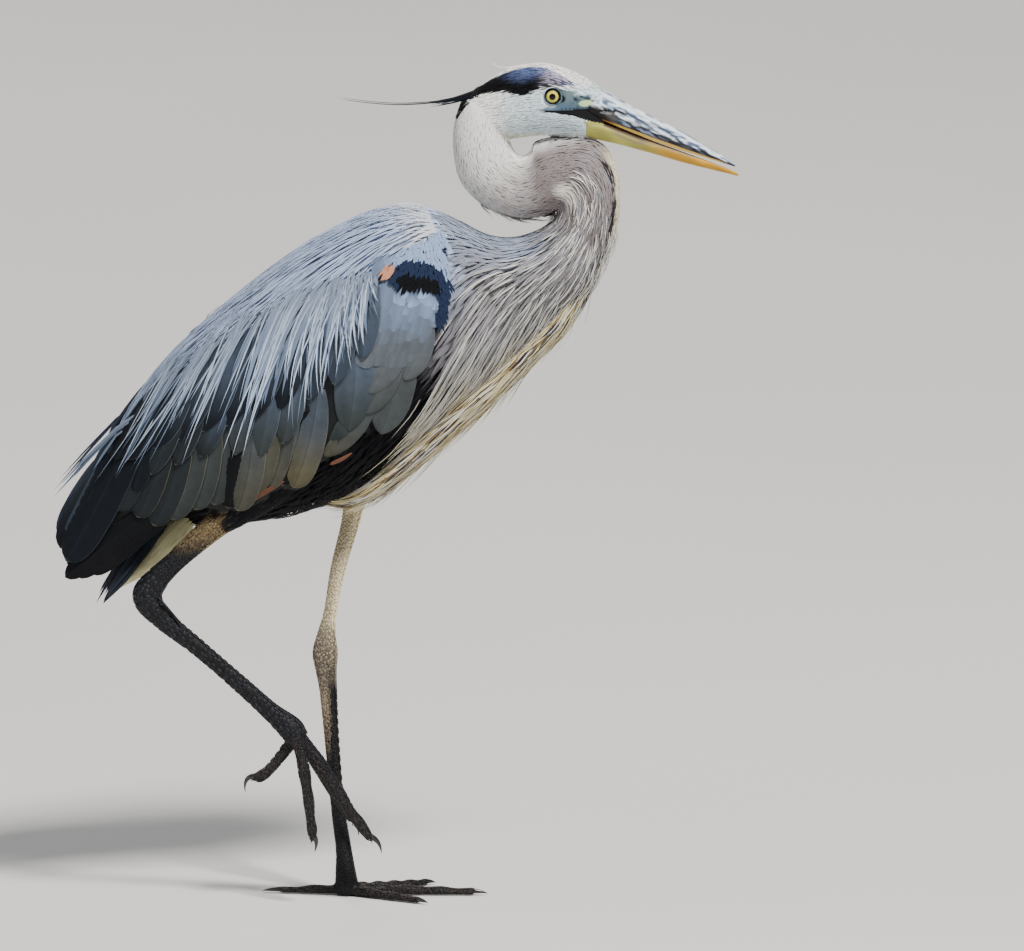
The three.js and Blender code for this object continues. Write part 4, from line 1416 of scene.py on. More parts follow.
def above_line(x, z):
    return z > line_at(MANTLE_EDGE, x) + 6


def on_shoulder(x, z):
    """Which places lie on the dark arch, the rust spot or the top of the shoulder, below the mantle."""
    marked = within(BEND_PATCH, x, z) | within(RUST_SPOT, x, z) | (z > 600)
    return marked & (z < line_at(MANTLE_EDGE, x) + 8) & (x > 30)


def make_mantle():
    """Narrow silky plumes over the back, with thin dark ones between them."""
    rng = draws(21)
    share, turn, points = wing_coat_roots(rng, 3.7 * MM, above_line)
    x = points[:, 0]
    pale = blend(MANTLE_PALE, MANTLE_GREY, rng.random(len(x)) * np.interp(x, [-140, 40], [0.9, 0.45]))
    dark = rng.random(len(share)) < np.interp(x, [-220, -100, 0, 60, 90], [0.32, 0.22, 0.09, 0.03, 0.0])
    pale = blend(pale, WHITE, smooth(x, 40, 84) * 0.6)
    tint = np.where(dark[:, None], MANTLE_DARK, pale)
    down = np.radians(np.interp(x, [-220, -100, 0, 60], [4, 6, 12, 20]))
    heading = down_side(turn, down * smooth(np.abs(turn), 0.1, 1.0))
    length = np.interp(x, [-220, 0, 25, 60, 90], [66, 56, 44, 26, 22]) * MM
    width = np.where(dark, 1.1, 1.7) * MM
    coat("mantle", "scapulars", WINGS, share, turn, length, width, heading, tint * 0.75, tint * 1.05,
         4.5 * MM, rng, rings=7, shape=SLIM_SHAPE, stray=0.1, vary=0.16, finish=PLUME, sink=0.12,
         replaced=("scapulars_left", "scapulars_right"))


def wing_marks(places):
    """Pale blue lesser coverts with a navy arch over the bend of the wing and a rust spot behind it."""
    x, z = places[..., 0], places[..., 2]
    return layered(
        COVERT_SOFT,
        (COVERT_PALE * 0.9, smooth(z, 556, 522)),
        (PALE_BLUE, smooth(z, 548, 574) * smooth(x, 34, 56)),
        (NAVY_BLUE, within(BEND_PATCH, x, z)),
        (INK, within(BEND_DARK, x, z)),
        (RUST_PALE, within(RUST_SPOT, x, z)))


DARK_ENOUGH = 0.08


def lesser_coverts(rng):
    """Rows from the shoulder down: root x and z, tip x and z, width and bow of each feather."""
    for z in np.arange(512, 604, 11):
        for x in np.arange(line_at(COVERT_REAR, z), line_at(COVERT_FRONT, z), 10):
            x, low = x + rng.random() * 6 - 3, z + rng.random() * 6 - 3
            x, low = x + rng.random() * 5 - 2.5, low + rng.random() * 5 - 2.5
            on_arch = low > 575 and within(BEND_PATCH + BEND_DARK, x, low)
            if not on_arch and not (x < 50 and low > 566):
                yield x + 5, min(low + 30, 606), x, low, 15 + rng.random() * 5, 0.06


def make_lesser_coverts():
    """Soft pale feathers on the front of the wing. One takes its tip's colour, except from the dark arch."""
    for side in ("right", "left"):
        feathers = np.array(list(lesser_coverts(draws(26))))
        nothing = np.zeros(len(feathers))
        tip_tints = wing_marks(np.column_stack([feathers[:, 2], nothing, feathers[:, 3]]))
        tints = wing_marks(np.column_stack([feathers[:, 0], nothing, feathers[:, 1]]))
        tints = np.where(tints.mean(-1, keepdims=True) < DARK_ENOUGH, tints, tip_tints)
        broad_feathers(f"coverts_lesser_row_{side}", "wing_coverts", WINGS, feathers, (2.3, 3.1), tints,
                       tip_tints, 27, tilt=-0.3, rings=10, edge=1.06, shaft=0.93, mirrored=side == "left",
                       finish=FEATHER, soft=True)


def make_covert_coat():
    """Short feathers over the shoulder, with the dark arch at the bend of the wing."""
    rng = draws(22)
    share, turn, points = wing_coat_roots(rng, 1.7 * MM, on_shoulder, 0.45)
    tint = wing_marks(points)
    heading = down_side(turn, np.interp(points[:, 0], [40, 60, 80, 95], [0.3, 0.7, 1.2, 1.5]))
    coat("shoulder_coverts", "wing_coverts", WINGS, share, turn, 11 * MM, 2.4 * MM, heading, tint, tint,
         1.5 * MM, rng, rings=5, shape=ROUND_SHAPE, uneven=0.1, thick=0.12, over=2.6 * MM, sink=0.12,
         replaced=("coverts_left", "coverts_right"))


def make_scapular_plumes():
    """Long silver plumes that fall from the shoulders over the wings, and a few loose ones past the tail."""
    steps = ring_steps(10)
    broad, fine, loose = 80, 150, 5
    count = broad + fine
    wide = np.arange(count) < broad
    for side, sign in (("right", -1), ("left", 1)):
        rng = draws(23 + sign)
        share = rng.random(count)
        spread = np.interp(share, [0.75, 1], [1, 0.35])[:, None]
        root = spline(PLUME_ROOTS, share) + (rng.random((count, 2)) - (0.5, 0.75)) * (24, 10) * spread
        tip = spline(PLUME_TIPS, share)
        short = np.where(wide, 0.28 + 0.42 * rng.random(count), 0.62 * rng.random(count) ** 0.9)
        tip = tip + (root - tip) * short[:, None] + (rng.random((count, 2)) - 0.5) * (10, 4)
        width = np.where(wide, 3.2 + 2.4 * rng.random(count), 0.9 + 0.8 * rng.random(count))
        shades = streaked(rng, count, [PLUME_SILVER, PLUME_BLUE, PLUME_DARK], [0.62, 0.24, 0.14])
        blue = blend(PLUME_BLUE * 0.6, PLUME_BLUE * 1.05, rng.random(count))
        shades = np.where(wide[:, None], blue, shades)
        root = np.concatenate([root, np.linspace((-192, 462), (-204, 446), loose)])
        tip = np.concatenate([tip, [(-268, 378), (-262, 389), (-250, 396), (-244, 406), (-232, 404)]])
        width = np.append(width, np.full(loose, 6.0))
        shades = np.concatenate([shades, np.tile(PLUME_BLUE * 1.1, (loose, 1))])
        share = np.append(share, np.zeros(loose))
        lift = 4.6 + 1.6 * rng.random(len(root)) + np.append(~wide, np.zeros(loose)) * 1.3
        out = (lift[:, None] * (0.2 + 0.8 * smooth(steps, 0, 0.2)) - 0.9 * smooth(steps, 0.6, 1.0)) - 0.8
        bow = -np.interp(share, [0, 0.25, 0.5, 0.8, 1], [0.0, 0.06, 0.17, 0.12, 0.14])
        bow = bow * (0.7 + 0.5 * rng.random(len(root)))
        middle, across, outward = hang(WINGS, root, tip, bow, out, steps)
        bright = (0.85 + 0.3 * rng.random(len(root))) * np.interp(share, [0.02, 0.35], [0.72, 1.0])
        pale = shades * bright[:, None]
        first = blend(pale, MANTLE_GREY * 0.8, 0.7)
        tints = fade(first, pale - first, smooth(steps, 0.2, 0.75))
        if side == "left":
            middle, across, outward = middle * MIRROR, -across * MIRROR, outward * MIRROR
        half = width[:, None] * MM / 2 * taper(PLUME_SHAPE, steps)
        roots = unroll(*seen_from_side(WINGS, root[:, 0], root[:, 1]))
        name = f"scapular_plumes_{side}"
        mesh = vanes(name, middle, across, outward, half, half * 0.4, tints, roots)
        place_piece(name, mesh, "scapulars", PLUME)


MANTLE_PALE = paint("#b2c4e6")
MANTLE_DARK = paint("#66738c")
PLUME_SILVER = paint("#bccbe0")
PLUME_BLUE = paint("#7688a4")
PLUME_DARK = paint("#333e50")
COVERT_SOFT = paint("#64728a")
NAVY_BLUE = paint("#1c2740")
RUST_PALE = paint("#bb8368")
SLIM_SHAPE = ((0, 0.5), (0.25, 1.0), (0.6, 0.75), (1, 0.0))
ROUND_SHAPE = ((0, 0.5), (0.3, 0.9), (0.6, 1.0), (0.85, 0.7), (1, 0.0))
PLUME_SHAPE = ((0, 0.4), (0.2, 0.8), (0.45, 1.0), (0.7, 0.8), (0.88, 0.42), (1, 0.0))

make_mantle()
make_lesser_coverts()
make_covert_coat()
make_scapular_plumes()

# ==== breast and belly

PLUMES = Form([
    (236, 612, 243, 600, 9), (211, 582, 228, 571, 16), (189, 553, 207, 537, 22),
    (171, 535, 187, 516, 26), (130, 497, 144, 473, 31), (98, 467, 111, 444, 31), (61, 433, 74, 412, 28),
    (26, 402, 37, 383, 22), (1, 386, 6, 369, 14), (-22, 381, -19, 371, 9), (-42, 380, -41, 374, 4),
])
BREAST_GREY = paint("#85848c")
BREAST_PALE = paint("#cbcac6")
BREAST_DARK = paint("#34333c")
STRAW = paint("#cbbf96")
STRAW_BROWN = paint("#7d6847")
BREAST_RINGS = 7


def make_body_coat():
    """Feathers of the shoulders, flanks and belly under the plumes."""
    rng = draws(31)
    share, turn, depth = body_roots(rng, 5.0 * MM, 15.5, BODY_ROWS, 2.5 * MM)
    row = share * BODY_ROWS
    black = smooth(row, 17.0, 18.2) * smooth(math.pi - np.abs(turn), 2.2, 1.9)
    tint = layered(MANTLE_PALE, (BREAST_GREY, smooth(np.abs(turn), 0.8, 1.8)), (BLACK, black))
    length = np.interp(row, [15, 18, 25], [24, 30, 26]) * MM
    coat("body_coat", "body_feathers", BODY, share, turn, length, 4.5 * MM, flow(share, turn),
         tint * 0.85, tint, depth, rng, rings=5, shape=SLIM_SHAPE)


def breast_piece(name, slot, form, share, turn, length, heading, lift, tint, change, rng, least, spread,
                 chance, *replaced):
    """Long loose plumes, with only that chance for one that would cross the black band of the flank."""
    middle, across, outward = lay(form, share, turn, length, heading, lift)
    width = (least + spread * rng.random(len(share))) * MM
    x, _, z = (middle[:, -1] / MM).T
    kept = (x > line_at(FLANK_LINE, z)) | (rng.random(len(share)) < chance)
    steps = ring_steps(BREAST_RINGS)
    profile = taper(PLUME_SHAPE, steps)
    half, high = width[:, None] / 2 * profile, np.maximum(width[:, None] * 0.3, 0.4 * MM) * profile
    tints = fade(tint, change, smooth(steps, 0.0, 0.6))
    parts = (middle, across, outward, half, high, tints, unroll(share, turn))
    place_piece(name, vanes(name, *(part[kept] for part in parts)), slot, PLUME, *replaced)


FLANK_LINE = [
    (380, -30), (390, 12), (400, 22), (420, 38), (440, 52), (460, 67), (480, 80), (500, 88), (520, 92),
    (540, 96),
]


def make_breast_plumes():
    """Long loose plumes of the lower neck that hang over the breast and flanks."""
    rng = draws(32)
    share, turn = scatter(BODY, rng, 3.9 * MM, 11.0 / BODY_ROWS, 18.6 / BODY_ROWS)
    row = share * BODY_ROWS
    points = BODY.at(share, turn) / MM
    kept = np.abs(turn) > np.interp(row, [11, 13, 15, 18], [0.7, 0.9, 1.3, 1.5])
    kept &= ~inside(skin_tree, points * MM, 2 * MM)
    kept &= points[:, 0] > np.interp(points[:, 2], [460, 520, 560, 600], [70, 84, 96, 100])
    share, turn, row = share[kept], turn[kept], row[kept]
    count = len(share)
    length = np.interp(row, [11, 12.5, 14, 16, 18.6], [26, 42, 66, 84, 70])
    length = length * (0.7 + 0.5 * rng.random(count)) * MM
    colour = streaked(rng, count, [BREAST_PALE, BREAST_GREY, BREAST_DARK], [0.45, 0.38, 0.17])
    warm = smooth(math.pi - np.abs(turn), 1.3, 0.5) * smooth(row, 12.5, 15)
    colour = blend(colour, streaked(rng, count, [STRAW, BREAST_PALE, STRAW_BROWN], [0.5, 0.32, 0.18]), warm)
    depth = body_depth(share)
    rise = smooth(ring_steps(BREAST_RINGS), 0, 0.6)[None, :]
    lift = -depth[:, None] + (depth + (1.0 + 2.6 * rng.random(count)) * MM)[:, None] * rise
    heading = flow(share, turn) + (rng.random(count) - 0.5) * 0.16
    change = blend(colour, BREAST_PALE, 0.35) - colour * 0.6
    breast_piece("breast_plumes_upper", "neck_feathers", BODY, share, turn, length, heading, lift,
                 colour * 0.6, change, rng, 1.0, 0.7, 0.05)


def make_breast_fringe():
    """The straw-coloured fringe down the front of the breast, with free tips."""
    rng = draws(33)
    share, turn = scatter(PLUMES, rng, 2.4 * MM, 0.0, 0.93)
    count = len(share)
    length = np.interp(share, [0, 0.2, 0.5, 0.8, 1], [45, 75, 90, 75, 45])
    length = length * (0.65 + 0.5 * rng.random(count)) * MM
    colour = streaked(rng, count, [STRAW, BREAST_PALE, STRAW_BROWN, BREAST_DARK], [0.46, 0.24, 0.18, 0.12])
    steps = ring_steps(BREAST_RINGS)
    lift = (-4.0 + (4.2 + 2.5 * rng.random(count))[:, None] * smooth(steps, 0, 0.7)[None, :]) * MM
    heading = (rng.random(count) - 0.5) * 0.2
    loose = (np.abs(turn) > 2.5) * (rng.random(count) < 0.09) * (5 + 6 * rng.random(count))
    lift = lift + loose[:, None] * steps ** 2 * MM
    breast_piece("breast_fringe", "breast_plumes", PLUMES, share, turn, length, heading, lift,
                 colour * 0.65, colour * 0.4, rng, 1.1, 0.9, 0.06, "breast_plumes")


make_body_coat()
make_breast_plumes()
make_breast_fringe()

# ==== tail, thighs, legs and feet

TAIL = Form([(-158, 396, -148, 375, 20), (-176, 369, -163, 350, 23), (-190, 347, -177, 331, 25),
             (-214, 312, -201, 300, 28), (-231, 283, -222, 276, 29), (-240, 267, -235, 263, 26)], square=2.2)
UNDERTAIL = Form([(-150, 372, -134, 346, 30), (-165, 356, -149, 329, 27), (-184, 334, -172, 311, 21),
                  (-207, 302, -202, 295, 9)])
TAIL_BLUE = paint("#242a33")
UNDERTAIL_CREAM = paint("#cfca9f")
TAIL_SHAPE = ((0, 0.5), (0.2, 0.8), (0.5, 1.0), (0.74, 0.9), (0.86, 0.55), (0.94, 0.22), (1, 0))


def make_tail():
    """Twelve broad tail feathers, the middle ones on top, and the pale feathers under them."""
    off = np.repeat(np.arange(6), 2)
    turn = np.tile([-1, 1], 6) * (0.12 + off * 0.33)
    count = len(turn)
    rng = draws(41)
    length = (143 - np.abs(turn) * 8 - rng.random(count) * 16) * MM
    steps = ring_steps(12)
    share = np.full(count, 0.02)
    lift = np.broadcast_to((-0.5 - off * 0.7)[:, None] * MM, (count, len(steps)))
    middle, across, outward = lay(TAIL, share, turn, length, np.zeros(count), lift)
    half = 16 * MM / 2 * taper(TAIL_SHAPE, steps[:-1])
    wide = np.broadcast_to(half[None, :, None] * BROAD_ACROSS, (count, len(half), len(BROAD_ACROSS)))
    body = sections(middle, across, outward, wide, np.broadcast_to(BROAD_HEIGHT * MM, wide.shape))
    tint = np.tile(TAIL_BLUE, (count, 1))
    tints = fade(tint * 0.7, tint - tint * 0.7, smooth(steps, 0.3, 1.0))
    tints = tints * (0.88 + 0.24 * draws(42).random(count))[:, None, None]
    body_tint = tints[:, :-1, None, :] * section_shade(1.5, 0.75)[None, None, :, None]
    mesh = vane_mesh("tail_feathers", body, middle[:, -1], body_tint, tints[:, -1], unroll(share, turn),
                     (BROAD_ACROSS + 1) / 2)
    place_piece("tail_feathers", mesh, "tail", VANE, "tail")

    share, turn = scatter(UNDERTAIL, rng, 4.5 * MM, 0.0, 0.9)
    count = len(share)
    tint = np.tile(UNDERTAIL_CREAM, (count, 1)) * (0.9 + 0.15 * rng.random((count, 1)))
    coat("undertail_coat", "undertail", UNDERTAIL, share, turn, 32 * MM, 5.5 * MM, 0.0,
         tint * 0.85, tint, 3 * MM, rng, rings=5, shape=SLIM_SHAPE, replaced=["undertail"])


# Leg colours. The front of a limb is at half a turn.
LEG_BUFF = paint("#eadcb6")
LEG_BROWN = paint("#5d4a44")
LEG_DARK = paint("#0b0b0e")
LEG_GLOSS = paint("#181b22")
THIGH_TAN = paint("#a5946a")
THIGH_BROWN = paint("#3c2a1c")
HOCK_MAUVE = paint("#41383b")


def leg_colour(name, turn, points):
    """The bare skin's colour: a pale left leg that darkens downwards and a black right one."""
    part, side = name.split("_")[0], name.split("_")[-1]
    off = off_back(turn)
    rear = 1 - smooth(off, 1.3, 2.4)
    x, y, z = (points[..., k] for k in range(3))
    mottle = np.sin(z * 0.9 + 3 * np.sin(x * 0.7) + y) * 0.5 + 0.5
    if side == "left" and part == "toe":
        return blend(LEG_DARK, LEG_BROWN, mottle * 0.12)
    if side == "left":
        specks = smooth(np.sin(z * 1.9 + 2.4 * np.sin(x * 1.7 + y)) + np.sin(z * 0.8 + x * 1.3), 0.6, 1.3)
        hock = smooth(z, 262, 240)
        black = smooth(z, 170, 122) + smooth(off, 1.1, 1.95) * (smooth(z, 244, 178) * 0.95 + hock * 0.2)
        return layered(
            LEG_BUFF,
            (THIGH_TAN, mottle * 0.2),
            (LEG_BROWN, rear * 0.45 + 0.14 * mottle * smooth(z, 300, 250)),
            (HOCK_MAUVE, hock * smooth(z, 178, 205) * (0.45 + 0.4 * mottle)),
            (LEG_BROWN, smooth(z, 215, 160) * 0.6 + specks * smooth(z, 225, 160) * 0.4),
            (LEG_DARK, np.clip(black, 0, 1)))
    dark = blend(LEG_DARK, LEG_GLOSS, mottle * 0.5)
    if part in ("thigh", "shank"):
        brown = blend(THIGH_TAN * 0.8, THIGH_BROWN, 0.55 + mottle * 0.4)
        return blend(brown, dark, smooth(z, 354, 328))
    if part == "toe":
        return blend(dark, LEG_BROWN, rear * 0.07 + smooth(mottle, 0.8, 1.0) * 0.1)
    return dark


def make_thighs():
    """Short feathers of the thighs, down to where the bare leg starts."""
    for side in ("left", "right"):
        rng = draws(50 + (side == "left"))
        form = LEGS[f"thigh_{side}"]
        share, turn = scatter(form, rng, 2.6 * MM)
        x, _, z = (form.at(share, turn) / MM).T
        stripe = smooth(np.abs(turn + 0.7), 0.55, 0.25) * smooth(share, 0.05, 0.3)
        tint = {
            "left": layered(CREAM, (LEG_BUFF, smooth(share, 0.2, 0.9)), (BLACK, smooth(z, 417, 425))),
            "right": layered(THIGH_TAN, (THIGH_BROWN, smooth(share, 0.35, 1.0) * 0.8),
                             (THIGH_BROWN * 0.4, stripe), (BLACK, smooth(x, -114, -104))),
        }[side]
        coat(f"thigh_coat_{side}", "thigh_feathers", form, share, turn, 14 * MM, 2.4 * MM, 0.0,
             tint * 0.8, tint, 1.6 * MM, rng)


# A scale's section and outline, and how its colour runs across and along it, on pale and on dark skin. On
# dark skin the much lighter edges and tips are a painted highlight of glossy scales.
SCALE_ACROSS = np.array([-1, -0.6, 0, 0.6, 1])
SCALE_HEIGHT = np.array([0, 0.75, 1, 0.75, 0])
SCALE_SHAPE = ((0, 0.75), (0.35, 1.0), (0.75, 0.85), (1, 0.0))
SHADE_ON_PALE = np.outer([0.94, 1.0, 1.02], 1 + (np.array([0, 1, 1, 1, 0]) - 1) * 0.1)[None, :, :, None]
PAINTED_GLOSS_ON_DARK = np.outer([0.9, 1.0, 1.5], [4.6, 1.0, 0.9, 1.0, 4.6])[None, :, :, None]
FRONT_PLATE = 4.2 * MM  # from one broad plate of the front row to the next
FLAT_LIMBS = ("shank_left", "tarsus_left")


def scales(name, slot, forms, seed, finish):
    """Small plates over the bare legs and toes: one broad row down the front and small ones round it."""
    rng = draws(seed)
    steps = ring_steps(3)
    made = []
    for index, (limb_name, form) in enumerate(forms.items()):
        top = 0.0 if "hallux" in limb_name else math.pi
        spine = form.at(np.linspace(0, 1, 60), np.full(60, top))
        run = float(np.linalg.norm(np.diff(spine, axis=0), axis=1).sum())
        plates = max(int(run / FRONT_PLATE), 3)
        share_a = (np.arange(plates) + 0.4) / plates * 0.97
        turn_a = np.full(plates, top) + (rng.random(plates) - 0.5) * 0.1
        gap = 3.9 if limb_name == "tarsus_right" else 1.9
        share_b, turn_b = scatter(form, rng, gap * MM, 0.0, 0.985)
        beside = off_back(turn_b - top) > 0.62
        share = np.append(share_a, share_b[beside])
        turn = np.append(turn_a, turn_b[beside])
        count = len(share)
        radius = np.linalg.norm(form.at(share, turn) - form.section(share)[0], axis=-1)
        broad = np.arange(count) < plates
        length = np.where(broad, 5.6, gap * 1.53) * MM
        half = np.where(broad, radius * 0.62, gap * 0.66 * MM)
        high = np.where(broad, 0.55, 0.36) * MM * (0.6 if limb_name in FLAT_LIMBS else 1.0)
        lift = np.tile(-LEG_DEPTH - 0.1 * MM + 0.12 * MM * steps, (count, 1))
        middle, across, outward = lay(form, share, turn, length, np.zeros(count), lift)
        wide, tall = ((size[:, None] * taper(SCALE_SHAPE, steps))[:, :-1, None] for size in (half, high))
        sag = wide ** 2 * SCALE_ACROSS ** 2 / (2 * radius[:, None, None])
        body = sections(middle, across, outward, wide * SCALE_ACROSS, tall * SCALE_HEIGHT - sag)
        tint = leg_colour(limb_name, turn, form.at(share, turn) / MM)
        tint = tint * (0.93 + 0.14 * rng.random(count))[:, None]
        dark = smooth(tint.mean(-1), 0.12, 0.03)[:, None]
        shade = SHADE_ON_PALE + (PAINTED_GLOSS_ON_DARK - SHADE_ON_PALE) * dark[:, :, None, None]
        place = unroll(share, turn)
        place[:, 0] = (place[:, 0] + index) / len(forms)
        # A dark scale's tip is painted lighter, a painted highlight.
        made.append((body, middle[:, -1], tint[:, None, None, :] * shade, tint * (0.8 + 1.8 * dark), place))
    mesh = vane_mesh(name, *(np.concatenate(parts) for parts in zip(*made)), (SCALE_ACROSS + 1) / 2)
    press_down(mesh)
    place_piece(name, mesh, slot, finish)


def leather_finish(name, roughness, bump):
    """Bare scaly skin."""
    shade = Shade(name, Specular_IOR_Level=0.25)
    pores = shade.noise(900.0, 3.0)
    colour = shade.shaded(shade.tint(), pores, 0.88, 1.1)
    return shade.feed(Base_Color=colour, Roughness=pores * 0.25 + roughness,
                      Normal=shade.bump(pores, bump, 0.0002))


def claw_finish():
    shade = Shade("black claw", Roughness=0.3, Coat_Weight=0.3, Coat_Roughness=0.2)
    grain = shade.noise(500.0, 3.0)
    stops = [(0.3, paint("#08080a")), (0.75, paint("#26252a"))]
    colour = shade.node("ShaderNodeValToRGB", {"stops": stops}, {"Fac": grain})
    return shade.feed(Base_Color=colour, Normal=shade.bump(grain, 0.2, 0.0001))


def make_claws():
    """Curved claws, each a tapered tube with an oval section."""
    finish = claw_finish()
    part = ring_steps(8)[:, None]
    for side in ("left", "right"):
        for toe in TOES:
            line = np.array(claw_line(toe, side), float)
            if side == "left":
                line[:, 2] = [line[0, 2], line[1, 2] + 0.4, 1.1]
            places = (1 - part) ** 2 * line[0] + 2 * part * (1 - part) * line[1] + part ** 2 * line[2]
            radius = CLAW_GIRTH * (1 - 0.93 * part ** 1.3)
            bm = loft(Limb(np.hstack([places, radius * 1.1, radius * 0.85])), 24, 16)
            mesh = mesh_of(bm, f"horn_{toe}_{side}")
            press_down(mesh)
            place_piece(f"horn_{toe}_{side}", mesh, "claw", finish, f"claw_{toe}_{side}")


LEG_SKIN = leather_finish("scaly leg", 0.42, 0.35)
make_tail()
make_thighs()
for leg_side, leg_slot, leg_seed in (("left", "pale_leg_skin", 61), ("right", "dark_leg_skin", 62)):
    limbs = {name: form for name, form in LIMB_FORMS.items() if name.endswith(leg_side)}
    del limbs[f"thigh_{leg_side}"]
    scales(f"leg_scales_{leg_side}", leg_slot, limbs, leg_seed, LEG_SKIN)
make_claws()

# ==== face, eyes, bill and crest

FACE_REAR = 174
FACE_LOW = 708
FACE_HIGH = 775
FACE_HALF = 5  # the face's bare parts are farther than this from the middle plane
FACE_REACH = 1.6 * MM  # skin this near to the head's own form is laid on it
LID_LEVEL = 18.9  # how far the lids are from the middle plane


def refine_face():
    """Finer skin round the eyes and lores, smooth on the head, with sockets for the eyes."""
    bm = bmesh.new()
    bm.from_mesh(skin.data)
    area = [edge for edge in bm.edges if all(
        FACE_REAR < vert.co.x / MM < 245 and abs(vert.co.y / MM) > FACE_HALF
        and FACE_LOW < vert.co.z / MM < FACE_HIGH for vert in edge.verts)]
    bmesh.ops.subdivide_edges(bm, edges=area, cuts=2, use_grid_fill=True)
    head = loft(HEAD, 200, 160, -HEAD_DEPTH)
    head_tree = BVHTree.FromBMesh(head)
    head.free()
    for vert in bm.verts:
        x, y, z = (value / MM for value in vert.co)
        if not (FACE_REAR < x < 242 and FACE_LOW < z < FACE_HIGH):
            continue
        near, normal, _, away = head_tree.find_nearest(vert.co)
        if away > FACE_REACH:
            continue
        bare = 0.0
        if abs(y) > FACE_HALF and (within(LORE, x, z) or within(CHIN, x, z)):
            bare = 0.9
        if abs(y) > FACE_HALF and within(GAPE, x, z):
            bare = -0.4
        vert.co = near + normal * bare * MM
        reach = eye_reach(x, z)
        if abs(y) > 7 and reach < SOCKET_REACH:
            level = math.copysign(SOCKET_LEVEL * MM, y)
            vert.co.y += (level - vert.co.y) * float(smooth(reach, SOCKET_REACH, 7.5))
    bm.to_mesh(skin.data)
    bm.free()


def eye_finish():
    shade = Shade("eye", Roughness=0.35, Coat_Weight=0.35, Coat_Roughness=0.03, Specular_IOR_Level=0.1)
    fibres = shade.noise(1600.0, 2.0)
    return shade.feed(Base_Color=shade.shaded(shade.tint(), fibres, 0.85, 1.15))


IRIS = paint("#cfc649")
IRIS_OUTER = paint("#8f8236")
EYE_EDGE = 0.15  # half the width of the blur between the eye's rings


def make_eyes():
    """Yellow eyes with a dark rim."""
    finish = eye_finish()
    for side, sign in SIDES:
        bm = bmesh.new()
        bmesh.ops.create_uvsphere(bm, u_segments=72, v_segments=110, radius=EYE_RADIUS * MM)
        flat = np.array([vert.co for vert in bm.verts])
        for vert in bm.verts:
            x, y, z = vert.co
            bulge = 1.04 if z > 0 else 1.0
            vert.co = (EYE_AT[0] * MM + x, sign * (EYE_AT[1] * MM + z * bulge), EYE_AT[2] * MM + y)
        if side == "left":
            bmesh.ops.reverse_faces(bm, faces=bm.faces)
        mesh = mesh_of(bm, f"eyeball_{side}")
        away = np.where(flat[:, 2] > 0, np.hypot(flat[:, 0], flat[:, 1]) / MM, EYE_RADIUS)
        set_tint(mesh, layered(
            IRIS,
            (IRIS_OUTER, smooth(away, 4.6, 5.8) * 0.6),
            (IRIS_OUTER * 0.5, smooth(away, PUPIL_RADIUS + 0.7, PUPIL_RADIUS) * 0.6),
            (BLACK * 0.4, smooth(away, IRIS_RADIUS - EYE_EDGE, IRIS_RADIUS + EYE_EDGE)),
            (BLACK * 0.2, smooth(away, PUPIL_RADIUS + EYE_EDGE, PUPIL_RADIUS - EYE_EDGE))))
        place_piece(f"eyeball_{side}", mesh, "eye", finish, f"eye_{side}")
        make_lid(side, sign)


def make_lid(side, sign):
    """A ring of bare skin round the eye, drawn out to a point in front."""
    bm = bmesh.new()
    bmesh.ops.create_grid(bm, x_segments=96, y_segments=20, size=1)
    for vert in bm.verts:
        turn, roll = (vert.co.x + 1) * math.pi, (vert.co.y + 1) * math.pi
        corner = math.exp(-(((turn + 0.5 + math.pi) % TAU - math.pi) / 0.4) ** 2)
        thick = 0.85 + 0.12 * math.sin(turn * 9) * math.sin(turn)
        ring = LID_RADIUS + 1.7 * corner + thick * 1.25 * math.cos(roll)
        out = LID_LEVEL - 0.5 * corner + thick * math.sin(roll)
        x, z = EYE_AT[0] + ring * math.cos(turn), EYE_AT[2] + ring * math.sin(turn)
        vert.co = Vector((x, sign * out, z)) * MM
    bmesh.ops.remove_doubles(bm, verts=bm.verts, dist=WELD)
    bmesh.ops.recalc_face_normals(bm, faces=bm.faces)
    mesh = mesh_of(bm, f"lid_{side}")
    x, _, z = (coords(mesh) / MM).T
    rim = blend(LORE_WHITE, LORE_GREY, smooth(x - EYE_AT[0], -2, 4))
    set_tint(mesh, blend(BLACK * 0.5, rim, smooth(eye_reach(x, z), LID_RADIUS + 0.1, LID_RADIUS + 0.9)))
    place_piece(f"lid_{side}", mesh, "head_feathers", LID_SKIN)


def bill_finish():
    shade = Shade("horn of the bill", Coat_Weight=0.1, Coat_Roughness=0.3, Specular_IOR_Level=0.2)
    stretched = shade.node("ShaderNodeMapping", sockets={
        "Vector": shade.place(), "Rotation": (0.0, math.radians(26), 0.0), "Scale": (60.0, 700.0, 700.0)})
    grain = shade.noise(1.0, 3.0, stretched)
    colour = shade.shaded(shade.tint(), grain, 0.75, 1.2)
    return shade.feed(Base_Color=colour, Roughness=grain * 0.25 + 0.36,
                      Normal=shade.bump(grain, 0.25, 0.0002))


def make_bill():
    """The two halves of the bill, with the nostril and its groove pressed into the upper one."""
    finish = bill_finish()
    for name, form, node, colours in (("upper_bill_horn", UPPER_BILL, "bill_upper", upper_bill_colour),
                                      ("lower_bill_horn", LOWER_BILL, "bill_lower", lower_bill_colour)):
        mesh = mesh_of(loft(form, 170, 72), name)
        points = coords(mesh) / MM
        set_tint(mesh, colours(points))
        if form is UPPER_BILL:
            slit, groove = nostril(points)
            points[:, 1] *= 1 - (0.16 * slit + 0.06 * groove)
        move_to(mesh, points * MM)
        place_piece(name, mesh, node, finish, node)


BILL_ROWS = [226, 240, 256, 284, 312, 335, 351, 362]


def tomium_height(x):
    """Where the two halves of the bill meet."""
    return np.interp(x, BILL_ROWS, [737, 731.4, 724.6, 713.2, 703.4, 696.3, 691.4, 687.9])


